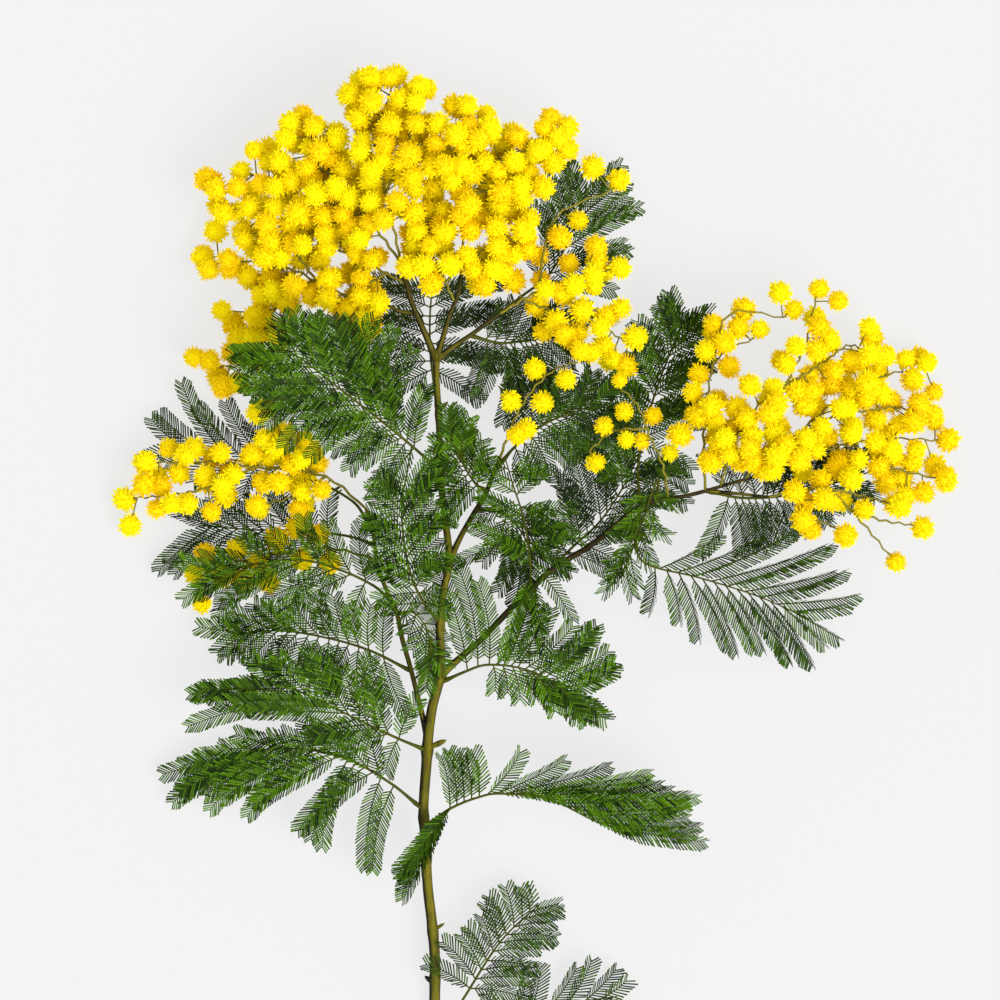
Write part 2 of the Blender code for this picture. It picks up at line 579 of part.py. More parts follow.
def add_head(bm, centre, away):
    """A round head: rings of three round its stalk, from a foot sunk in the raceme over tufts and
    hollows in turn to the tuft at its far end."""
    side = unit(np.cross(away, [0.31, 0.52, 0.79]))
    over = np.cross(away, side)
    foot = bm.verts.new(centre - (HEAD_OFFSET - FOOT_SHIFT) * away)
    before = None
    for lean, radius, turned in HEAD_RINGS:
        lean = math.radians(lean)
        ring = []
        for k in range(3):
            angle = math.radians(120 * k + turned)
            out = math.cos(lean) * (math.cos(angle) * side + math.sin(angle) * over)
            ring.append(bm.verts.new(centre + radius * (out + math.sin(lean) * away)))
        for k in range(3):
            if before is None:
                bm.faces.new((foot, ring[(k + 1) % 3], ring[k]))
            elif turned:
                bm.faces.new((before[k], before[(k + 1) % 3], ring[k]))
                bm.faces.new((before[(k + 1) % 3], ring[(k + 1) % 3], ring[k]))
            else:
                bm.faces.new((before[k], ring[(k + 1) % 3], ring[k]))
                bm.faces.new((before[k], before[(k + 1) % 3], ring[(k + 1) % 3]))
        before = ring
    tip = bm.verts.new(centre + HEAD_RADIUS * away)
    for k in range(3):
        bm.faces.new((before[k], before[(k + 1) % 3], tip))


def object_of(name, bm, material):
    mesh = bpy.data.meshes.new(name)
    bmesh.ops.triangulate(bm, faces=bm.faces)
    bm.to_mesh(mesh)
    bm.free()
    obj = bpy.data.objects.new(name, mesh)
    if material:
        mesh.materials.append(material)
    return obj


def fused(name, first, others, material):
    """One body from the first shape and all the others, by a Boolean union that is applied."""
    group = bpy.data.collections.new(name + "_repeats")
    bpy.context.scene.collection.children.link(group)
    for number, bm in enumerate(others):
        group.objects.link(object_of(f"{name}_{number}", bm, material))
    obj = object_of(name, first, material)
    bpy.context.scene.collection.objects.link(obj)
    union = obj.modifiers.new("union", "BOOLEAN")
    union.operation = "UNION"
    union.operand_type = "COLLECTION"
    union.collection = group
    union.solver = SOLVER
    bpy.context.view_layer.objects.active = obj
    bpy.ops.object.modifier_apply(modifier=union.name)
    for repeat in list(group.objects):
        bpy.data.objects.remove(repeat)
    bpy.data.collections.remove(group)
    keep_outer_body(obj)
    return obj


def keep_outer_body(obj):
    """Drops loose scraps and the skins of sealed hollows, and keeps the one outer body."""
    bm = bmesh.new()
    bm.from_mesh(obj.data)
    left = set(bm.verts)
    bodies = []
    while left:
        body, front = set(), [left.pop()]
        while front:
            vert = front.pop()
            body.add(vert)
            for edge in vert.link_edges:
                other = edge.other_vert(vert)
                if other in left:
                    left.discard(other)
                    front.append(other)
        bodies.append(body)
    bodies.sort(key=len, reverse=True)
    for body in bodies[1:]:
        bmesh.ops.delete(bm, geom=list(body), context="VERTS")
    bm.to_mesh(obj.data)
    bm.free()


def plain_material(name, colour, roughness):
    material = bpy.data.materials.new(name)
    material.use_nodes = True
    shader = material.node_tree.nodes["Principled BSDF"]
    shader.inputs["Base Color"].default_value = (*colour, 1)
    shader.inputs["Roughness"].default_value = roughness
    shader.inputs["Metallic"].default_value = 0
    material.diffuse_color = (*colour, 1)
    return material


def tube_mesh(curve, radii, sides):
    bm = bmesh.new()
    add_tube(bm, curve, radii, sides)
    return bm


def build_stem(material):
    """The main stem with the forks and boughs that grow from it, as one piece of wood."""
    shapes = []
    for name, route in BRANCHES.items():
        line = np.array([at(*stop[:3]) for stop in route])
        radii = [stop[3] * MM for stop in route]
        shapes.append(tube_mesh(line, radii, BRANCH_SIDES.get(name, 4)))
    return fused("stem", shapes[0], shapes[1:], material)


def thin_rachis(curve):
    """The rachis at fewer points than its smooth curve has, and slimmer towards its tip."""
    shares = np.linspace(0, 1, RACHIS_STATIONS)
    line = np.array([place_on(curve, share)[0] for share in shares])
    return line, RACHIS_RADIUS * (1 - RACHIS_TAPER * shares)


def half_widths(spines):
    """How wide each pinna can be without crossing its neighbours in the frond."""
    widths = []
    for i, spine in enumerate(spines):
        gaps = [
            np.linalg.norm(spine[SPINE_MIDDLE][:, None] - other[None], axis=2).min()
            for k, other in enumerate(spines) if k != i
        ]
        width = NEIGHBOUR_SHARE * min(gaps)
        widths.append(min(max(width, PINNA_LEAST_HALF_WIDTH), PINNA_HALF_WIDTH))
    return widths


def build_frond(name, rachis, spines, material):
    line, radii = thin_rachis(rachis)
    others = []
    for spine, half_width in zip(spines, half_widths(spines)):
        bm = bmesh.new()
        reach = np.linalg.norm(spine[-1] - spine[0])
        add_blade(bm, spine, 3 if reach > LONG_PINNA else 2, half_width)
        others.append(bm)
    return fused(name, tube_mesh(line, radii, 4), others, material)



def build_spray(name, curves, heads, material):
    shapes = []
    for curve, _ in curves:
        shapes.append(tube_mesh(curve, [AXIS_RADIUS] * len(curve), 3))
    for centre, away in heads:
        bm = bmesh.new()
        add_head(bm, centre, away)
        shapes.append(bm)
    return fused(name, shapes[0], shapes[1:], material)


def spray_curves(racemes, bark):
    """The racemes' curves: the first starts off the bark, the others on the ones before."""
    curves = []
    for route, count in racemes:
        points = [at(*stop) for stop in route]
        if curves:
            before = np.vstack([smooth(curve, ROOM_STEPS) for curve, _ in curves])
            points[0] = before[np.linalg.norm(before - points[0], axis=1).argmin()]
        else:
            points = off_the_bark(points, AXIS_RADIUS, bark)
        curve = smooth(points, CURVE_STEPS)
        stations = np.linspace(0, 1, 5 if count > 4 else 3)
        curves.append((np.array([place_on(curve, share)[0] for share in stations]), count))
    return curves


def build():
    for old in list(bpy.data.objects):
        bpy.data.objects.remove(old)
    bark = plain_material("bark", (0.16, 0.13, 0.03), 0.7)
    leaf = plain_material("leaf", (0.10, 0.22, 0.04), 0.6)
    flower = plain_material("flower", (0.95, 0.72, 0.02), 0.8)
    lines = branch_lines()
    bark_lines = [np.concatenate(parts) for parts in zip(*lines.values())]
    room = Room()
    for line, _, radii in lines.values():
        room.add("stem", line[:: BARK_STEPS // 4], radii.max())
    rachises = {}
    for name, (route, *_) in FRONDS.items():
        stops = off_the_bark([at(*stop) for stop in route], RACHIS_RADIUS, bark_lines)
        rachises[name] = smooth(stops, CURVE_STEPS)
        room.add(name, rachises[name], RACHIS_RADIUS)
    racemes = {name: spray_curves(drawn, bark_lines) for name, drawn in SPRAYS.items()}
    for name, curves in racemes.items():
        for curve, _ in curves:
            room.add(name, smooth(curve, ROOM_STEPS), AXIS_RADIUS)
    spines = {}
    for name, (_, *sides) in FRONDS.items():
        spines[name] = settle_pinnae(name, rachises[name], sides, room)
    heads = {name: settle_heads(name, curves, room) for name, curves in racemes.items()}
    build_stem(bark)
    for name, rachis in rachises.items():
        build_frond(name, rachis, spines[name], leaf)
    for name, curves in racemes.items():
        build_spray(name, curves, heads[name], flower)


build()
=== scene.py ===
"""The looks of a mimosa sprig in flower that was cut from its tree and lies on a pale light table.

Metres, +Z up. Routes are drawn on the squared paper of the part's source, three squares to a
millimetre, and the same rules place every pinna and flower head where the solids have them.
"""

import math

import bpy
import numpy as np
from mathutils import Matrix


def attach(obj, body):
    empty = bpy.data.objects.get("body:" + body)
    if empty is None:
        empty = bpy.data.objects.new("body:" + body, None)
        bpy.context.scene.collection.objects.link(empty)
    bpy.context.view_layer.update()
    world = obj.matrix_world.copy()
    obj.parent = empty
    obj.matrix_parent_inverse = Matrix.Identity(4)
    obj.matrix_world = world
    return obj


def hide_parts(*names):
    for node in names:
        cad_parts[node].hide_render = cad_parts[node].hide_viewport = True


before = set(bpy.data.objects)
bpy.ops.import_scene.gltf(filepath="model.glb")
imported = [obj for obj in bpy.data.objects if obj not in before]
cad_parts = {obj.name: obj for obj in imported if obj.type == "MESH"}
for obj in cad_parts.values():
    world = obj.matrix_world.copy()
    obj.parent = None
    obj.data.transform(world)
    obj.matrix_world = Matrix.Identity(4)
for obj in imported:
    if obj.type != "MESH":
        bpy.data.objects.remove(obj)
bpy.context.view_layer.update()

# The stem is one piece of young green wood with a browner side bough and thin twigs. It grew so
# from one shoot, with swollen nodes and a few buds, and was cut off at its foot, where wood shows.
MM = 0.001
SQUARE = MM / 3
PAPER_MIDDLE = (538, 576)
BARK_STEPS = 60
TUBE_STEPS = 9
SOLVER = "MANIFOLD"
COLLAR = 0.45
COLLAR_REACH = 3.2 * MM
NODE_SWELLING = 0.26
NODE_REACH = 1.9 * MM
STEM_NODES = [
    (428, 985, 5), (437, 935, 7), (425, 860, 10), (426, 820, 12), (428, 752, 17), (440, 679, 22.5),
    (441, 625, 26), (446, 563, 29), (441, 470, 32), (439, 415, 33.5), (436, 362, 35),
]
MERGE_REACH = 0.01 * MM
SMOOTH_ANGLE = 50
GRAIN_STEP = 6
CUT_DEPTH = 0.4 * MM
BARK_RELIEF = 0.25 * MM

# Buds: foot and tip as squares across, squares down and height in mm, and the radius in mm
BUDS = [
    ((431, 748, 18), (446, 741, 21), 1.0), ((440, 410, 34), (448, 402, 35.5), 0.7),
    ((434, 989, 5), (424, 981, 6), 0.9), ((434, 934, 7), (444, 927, 9), 0.6),
]
BUD_STEPS = 7
BUD_FOOT = 0.12
BUD_RUN = 0.87

# The way that the painted lit side of the bark faces, and where and how far the branches turn brown
PAINTED_LIGHT_WAY = (0.35, 0, 0.94)
BROWN_BRANCHES = ("bough", "bough_fork", "inner")
GREEN_BRANCHES = ("main", "left_twig")
BROWN_REACH = 30 * MM
FORK_BROWN = 0.6
# Bark colours: the first is painted shade for the side of the bark turned away from the light
BARK_SHADED, BARK_DULL, BARK_LIT, BARK_PATCH = "14160A", "46420A", "7E7816", "5A4214"
BARK_OLD_DARK, BARK_OLD_LIGHT, BARK_SPECK, BARK_CUT = "1E1806", "4A4018", "8E7E42", "C9BE86"

# How slim the bark of a branch is beside the radius that is drawn for it
SLIMMING = {"main": 0.8, "bough": 0.72, "bough_fork": 0.8, "inner": 0.85, "left_twig": 0.9}

# Branches of the stem: squares across, squares down, height in mm, radius in mm
BRANCHES = {
    "main": [
        (432, 1078, 2.4, 2.4), (434, 1000, 4.5, 2.3), (434, 960, 6, 2.25), (431, 925, 7.5, 2.2),
        (427, 890, 9, 2.15), (425, 850, 11, 2.1), (423, 810, 13, 2.1), (426, 765, 16, 2.2),
        (428, 735, 18, 2.2), (432, 708, 20, 2.1), (438, 685, 22, 2.0), (441, 660, 24, 1.8),
        (440, 630, 26, 1.7), (443, 595, 28, 1.6), (449, 560, 29.5, 1.6), (446, 525, 30.5, 1.45),
        (441, 480, 32, 1.4), (439, 420, 33.5, 1.35), (437, 385, 34, 1.3), (436, 352, 35, 1.2),
    ],
    "fork_left": [
        (436, 360, 34.8, 1.1), (427, 338, 36, 1.05), (418, 318, 37, 0.95), (411, 300, 38, 0.9),
        (407, 285, 39, 0.85), (400, 262, 41, 0.75),
    ],
    "fork_side": [(415, 314, 37, 0.75), (400, 312, 37, 0.7), (388, 306, 37, 0.6)],
    "fork_middle": [
        (436, 360, 34.8, 1.0), (443, 338, 36, 0.85), (450, 315, 37, 0.75), (458, 295, 38, 0.7),
        (462, 272, 39, 0.65),
    ],
    "fork_right": [
        (436, 360, 34.8, 1.0), (455, 346, 35.5, 0.85), (470, 336, 36, 0.75), (485, 325, 36.5, 0.7),
        (500, 314, 37, 0.65),
    ],
    "bough": [
        (440, 676, 22.5, 1.6), (458, 660, 23.5, 1.55), (480, 641, 25, 1.5), (505, 615, 27, 1.5),
        (528, 592, 28.5, 1.5), (548, 573, 29.5, 1.45), (570, 558, 30.5, 1.4), (590, 546, 31.5, 1.35),
        (612, 528, 32.5, 1.3), (635, 509, 33.5, 1.2), (655, 501, 34, 1.1), (680, 497, 34.5, 1.0),
        (705, 491, 35, 0.9), (735, 482, 35.5, 0.75), (762, 475, 36, 0.65),
    ],
    "bough_fork": [(706, 490.5, 35, 0.75), (740, 494, 36, 0.65), (768, 497, 37, 0.6)],
    "inner": [
        (448, 564, 29.3, 1.3), (460, 538, 30.5, 1.1), (473, 515, 31.5, 1.05), (485, 495, 32.5, 1.0),
        (493, 475, 33.5, 0.9), (500, 458, 34.5, 0.8),
    ],
    "left_twig": [
        (428, 742, 17.6, 1.2), (418, 700, 19.5, 0.95), (410, 668, 20.5, 0.9), (402, 640, 21.5, 0.9),
        (396, 612, 22, 0.85), (386, 590, 22.5, 0.8), (377, 565, 22.5, 0.75), (373, 535, 22.5, 0.7),
        (366, 510, 22.5, 0.65),
    ],
}


def at(across, down, height):
    """A place on the squared paper, in metres."""
    x = (across - PAPER_MIDDLE[0]) * SQUARE
    y = (PAPER_MIDDLE[1] - down) * SQUARE
    return np.array([x, y, height * MM])


def unit(vectors):
    """Each vector at a length of one."""
    return vectors / np.linalg.norm(vectors, axis=-1, keepdims=True)


def smooth(points, steps):
    """A smooth curve through the points, with this many steps between each two of them."""
    points = np.array(points)
    ends = np.vstack([2 * points[0] - points[1], points, 2 * points[-1] - points[-2]])
    curve = []
    for i in range(len(points) - 1):
        a, b, c, d = ends[i : i + 4]
        for t in np.linspace(0, 1, steps, endpoint=False):
            bend = (2 * a - 5 * b + 4 * c - d) * t + (3 * b - a - 3 * c + d) * t * t
            curve.append(0.5 * (2 * b + (c - a) * t + bend * t))
    curve.append(points[-1])
    return np.array(curve)


def columns_at(shares, stations, values):
    """The rows of values between their stations, one for each share."""
    columns = [np.interp(shares, stations, column) for column in np.transpose(values)]
    return np.stack(columns, axis=1)


def runs_along(line):
    """How far each point of the line is from its start, along it."""
    return np.concatenate([[0], np.cumsum(np.linalg.norm(np.diff(line, axis=0), axis=1))])


def select_only(*objects):
    """Selects these pieces alone, the first of them the active one."""
    bpy.ops.object.select_all(action="DESELECT")
    for piece in objects:
        piece.select_set(True)
    bpy.context.view_layer.objects.active = objects[0]


def tubes(name, runs, roundness):
    """One mesh of closed round tubes, each along its own line of points with a radius at each."""
    curve = bpy.data.curves.new(name, "CURVE")
    curve.dimensions = "3D"
    curve.bevel_depth = 1
    curve.bevel_resolution = roundness
    curve.use_fill_caps = True
    for line, radii in runs:
        spline = curve.splines.new("POLY")
        spline.points.add(len(line) - 1)
        for point, place, radius in zip(spline.points, line, radii):
            point.co = (*place, 1)
            point.radius = radius
    piece = bpy.data.objects.new(name, curve)
    bpy.context.scene.collection.objects.link(piece)
    select_only(piece)
    bpy.ops.object.convert(target="MESH")
    piece = bpy.context.object
    piece.name = name
    bpy.ops.object.mode_set(mode="EDIT")
    bpy.ops.mesh.select_all(action="SELECT")
    bpy.ops.mesh.remove_doubles(threshold=MERGE_REACH)
    bpy.ops.mesh.normals_make_consistent(inside=False)
    bpy.ops.object.mode_set(mode="OBJECT")
    return piece


def points_of(piece):
    """The places of the piece's corners, one row for each."""
    places = np.empty(3 * len(piece.data.vertices), np.float32)
    piece.data.vertices.foreach_get("co", places)
    return places.reshape(-1, 3).astype(float)


def mark(piece, name, values):
    """Keeps a number or a vector for each point of the piece, for its material to read."""
    values = np.asarray(values, np.float32)
    kind, field = ("FLOAT", "value") if values.ndim == 1 else ("FLOAT_VECTOR", "vector")
    attribute = piece.data.attributes.new(name, kind, "POINT")
    attribute.data.foreach_set(field, values.ravel())


class Sum:
    """A number in a material. Arithmetic on it adds Math nodes."""

    def __init__(self, paint, socket):
        self.paint = paint
        self.socket = socket

    def math(self, operation, *values):
        return self.paint.add("ShaderNodeMath", {"operation": operation}, *values)

    def __add__(self, other):
        return self.math("ADD", self, other)

    def __sub__(self, other):
        return self.math("SUBTRACT", self, other)

    def __rsub__(self, other):
        return self.math("SUBTRACT", other, self)

    def __mul__(self, other):
        return self.math("MULTIPLY", self, other)

    __radd__ = __add__
    __rmul__ = __mul__

    def clamped(self):
        return self.paint.add("ShaderNodeClamp", {}, self)


class Paint:
    """A material and the nodes that paint it."""

    def __init__(self, name):
        self.material = bpy.data.materials.new(name)
        self.material.use_nodes = True
        self.tree = self.material.node_tree
        self.shader = self.tree.nodes["Principled BSDF"]

    def add(self, kind, settings, *values, output=0, **named):
        """A node of this kind with its settings, and the values or links of its sockets."""
        node = self.tree.nodes.new(kind)
        for setting, value in settings.items():
            setattr(node, setting, value)
        for key, value in [*enumerate(values), *named.items()]:
            if value is not None:
                self.feed(node.inputs[key if isinstance(key, int) else key.replace("_", " ")], value)
        return Sum(self, node.outputs[output])

    def feed(self, socket, value):
        if isinstance(value, Sum):
            self.tree.links.new(value.socket, socket)
        else:
            socket.default_value = value

    def mark(self, name):
        """A number that the piece keeps at each of its points."""
        return self.add("ShaderNodeAttribute", {"attribute_name": name}, output="Fac")

    def mix(self, share, low, high):
        """The colour between two colours, low at share 0 and high at share 1."""
        settings = {"data_type": "RGBA"}
        before_colours = [None] * 5
        return self.add("ShaderNodeMix", settings, share, *before_colours, low, high, output=2)

    def noise(self, places, scale, detail=3):
        settings = {"noise_dimensions": "3D"}
        return self.add("ShaderNodeTexNoise", settings, Vector=places, Scale=scale, Detail=detail)

    def stretched(self, places, scale):
        return self.add("ShaderNodeMapping", {}, Vector=places, Scale=scale)

    def finish(self, colour, roughness, height=None, relief=0, **fixed):
        """Joins colour, roughness and relief to the shader, and sets what is the same all over."""
        self.feed(self.shader.inputs["Base Color"], colour)
        self.feed(self.shader.inputs["Roughness"], roughness)
        if height is not None:
            bump = self.add("ShaderNodeBump", {}, Height=height, Distance=relief)
            self.feed(self.shader.inputs["Normal"], bump)
        for name, value in fixed.items():
            self.shader.inputs[name.replace("_", " ")].default_value = value
        return self.material


def hex_colour(code):
    """A shader's colour from the six digits that a paint chart gives."""
    parts = [int(code[i : i + 2], 16) / 255 for i in (0, 2, 4)]
    return (*(((part + 0.055) / 1.055) ** 2.4 for part in parts), 1)


def branch_lines():
    """Each branch's centre line at close steps, its direction and its radius there."""
    lines = {}
    for name, route in BRANCHES.items():
        stops = np.array([at(*stop[:3]) for stop in route])
        shares = np.linspace(0, len(route) - 1, BARK_STEPS * (len(route) - 1) + 1)
        line = columns_at(shares, range(len(route)), stops)
        radii = np.interp(shares, range(len(route)), [stop[3] * MM for stop in route])
        lines[name] = (line, unit(np.gradient(line, axis=0)), radii)
    return lines


def bark_run(name, route):
    """A branch's smooth line, swollen at the nodes, with a collar where it leaves its parent."""
    line = smooth([at(*stop[:3]) for stop in route], TUBE_STEPS)
    stations = np.linspace(0, len(route) - 1, len(line))
    radii = np.interp(stations, range(len(route)), [stop[3] * MM for stop in route])
    radii = radii * SLIMMING.get(name, 1)
    for node in STEM_NODES:
        far = np.linalg.norm(line - at(*node), axis=1)
        radii = radii * (1 + NODE_SWELLING * np.exp(-((far / NODE_REACH) ** 2)))
    if name != "main":
        from_fork = np.linalg.norm(line - line[0], axis=1)
        radii = radii * (1 + COLLAR * np.exp(-from_fork / COLLAR_REACH))
    return line, radii


def bud_run(foot, tip, radius):
    """A small pointed bud from the bark outwards."""
    shares = np.linspace(0, 1, BUD_STEPS)
    line = at(*foot) + shares[:, None] * (at(*tip) - at(*foot))
    return line, MM * radius * np.sqrt(np.sin(math.pi * (BUD_FOOT + BUD_RUN * shares)))


stem = tubes("stem_wood", [bark_run("main", BRANCHES["main"])], 4)
limbs = []
for name, route in BRANCHES.items():
    if name != "main":
        limbs.append(tubes(f"limb_{name}", [bark_run(name, route)], 2))
for number, bud in enumerate(BUDS):
    limbs.append(tubes(f"bud_{number}", [bud_run(*bud)], 1))
for limb in limbs:
    union = stem.modifiers.new("union", "BOOLEAN")
    union.operation = "UNION"
    union.object = limb
    union.solver = SOLVER
    select_only(stem)
    bpy.ops.object.modifier_apply(modifier=union.name)
    bpy.data.objects.remove(limb)
select_only(stem)
bpy.ops.object.shade_smooth_by_angle(angle=math.radians(SMOOTH_ANGLE))

# The bark's grain runs along each branch, so every point keeps its place in a straightened branch
places = points_of(stem)
bark = branch_lines()
nearest = np.full(len(places), np.inf)
grain = np.zeros((len(places), 3))
brown = np.zeros(len(places))
painted_lit_side = np.zeros(len(places))
for name, (line, _, radii) in bark.items():
    line = line[::GRAIN_STEP]
    offsets = places[:, None] - line[None]
    reach = np.linalg.norm(offsets, axis=2)
    closest = reach.argmin(axis=1)
    off = reach[np.arange(len(places)), closest] - radii[::GRAIN_STEP][closest]
    mine = off < nearest
    nearest = np.where(mine, off, nearest)
    out = offsets[np.arange(len(places)), closest]
    run = runs_along(line)[closest]
    grain[mine] = np.stack([out[:, 0], out[:, 2], run], axis=1)[mine]
    if name in BROWN_BRANCHES:
        brown[mine] = np.clip(run / BROWN_REACH, 0, 1)[mine]
    elif name in GREEN_BRANCHES:
        brown[mine] = 0
    else:
        brown[mine] = FORK_BROWN
    # Painted light: how far each point of the bark faces the way the painted light comes from
    facing = unit(out) @ unit(np.array(PAINTED_LIGHT_WAY))
    painted_lit_side[mine] = facing[mine]
mark(stem, "grain", grain)
mark(stem, "brown", brown)
mark(stem, "painted_lit_side", painted_lit_side)
mark(stem, "foot", np.clip(1 - (places[:, 1] - places[:, 1].min()) / CUT_DEPTH, 0, 1))

bark_paint = Paint("young_bark")
grain_place = bark_paint.add("ShaderNodeAttribute", {"attribute_name": "grain"}, output="Vector")
streak = bark_paint.noise(bark_paint.stretched(grain_place, (1, 1, 0.08)), 900, 4)
patch = bark_paint.noise(grain_place, 160, 2)
speck = bark_paint.noise(bark_paint.stretched(grain_place, (1, 1, 0.5)), 1500, 1)
lit = bark_paint.mix((streak * 2.6 - 0.8).clamped(), hex_colour(BARK_DULL), hex_colour(BARK_LIT))
young = bark_paint.mix(((patch - 0.5) * 2.5).clamped(), lit, hex_colour(BARK_PATCH))
old = bark_paint.mix((streak * 2.4 - 0.7).clamped(), hex_colour(BARK_OLD_DARK), hex_colour(BARK_OLD_LIGHT))
aged = bark_paint.mix(bark_paint.mark("brown"), young, old)
# Painted shade: the bark turns to the dark shaded colour on its side away from the light
painted_lit_share = ((bark_paint.mark("painted_lit_side") - 0.35) * 1.9).clamped()
skin_with_painted_shade = bark_paint.mix(painted_lit_share, hex_colour(BARK_SHADED), aged)
dotted = bark_paint.mix(((speck - 0.68) * 9).clamped(), skin_with_painted_shade, hex_colour(BARK_SPECK))
cut = bark_paint.mix(bark_paint.mark("foot"), dotted, hex_colour(BARK_CUT))
roughness = streak * 0.25 + 0.5
relief = streak + speck * 0.6
bark_finish = bark_paint.finish(cut, roughness, relief, BARK_RELIEF, Specular_IOR_Level=0.12)
stem.data.materials.clear()
stem.data.materials.append(bark_finish)
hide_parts("stem")
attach(stem, "root")

# The fronds are feathery leaves, each a green rachis that leaves the bark at a swollen foot. Here
# are their routes, and the rules that keep each clear of the others as it is put in place.
HEAD_RADIUS = 4.1 * MM
AXIS_RADIUS = 0.65 * MM
RACHIS_RADIUS = 0.9 * MM
SEAT_GAP = 0.3 * MM
CLEARANCE = 0.35 * MM
CURVE_STEPS = 8
RACEME_STOPS = (3, 5)
LONG_RACEME = 4
ROOM_STEPS = 5

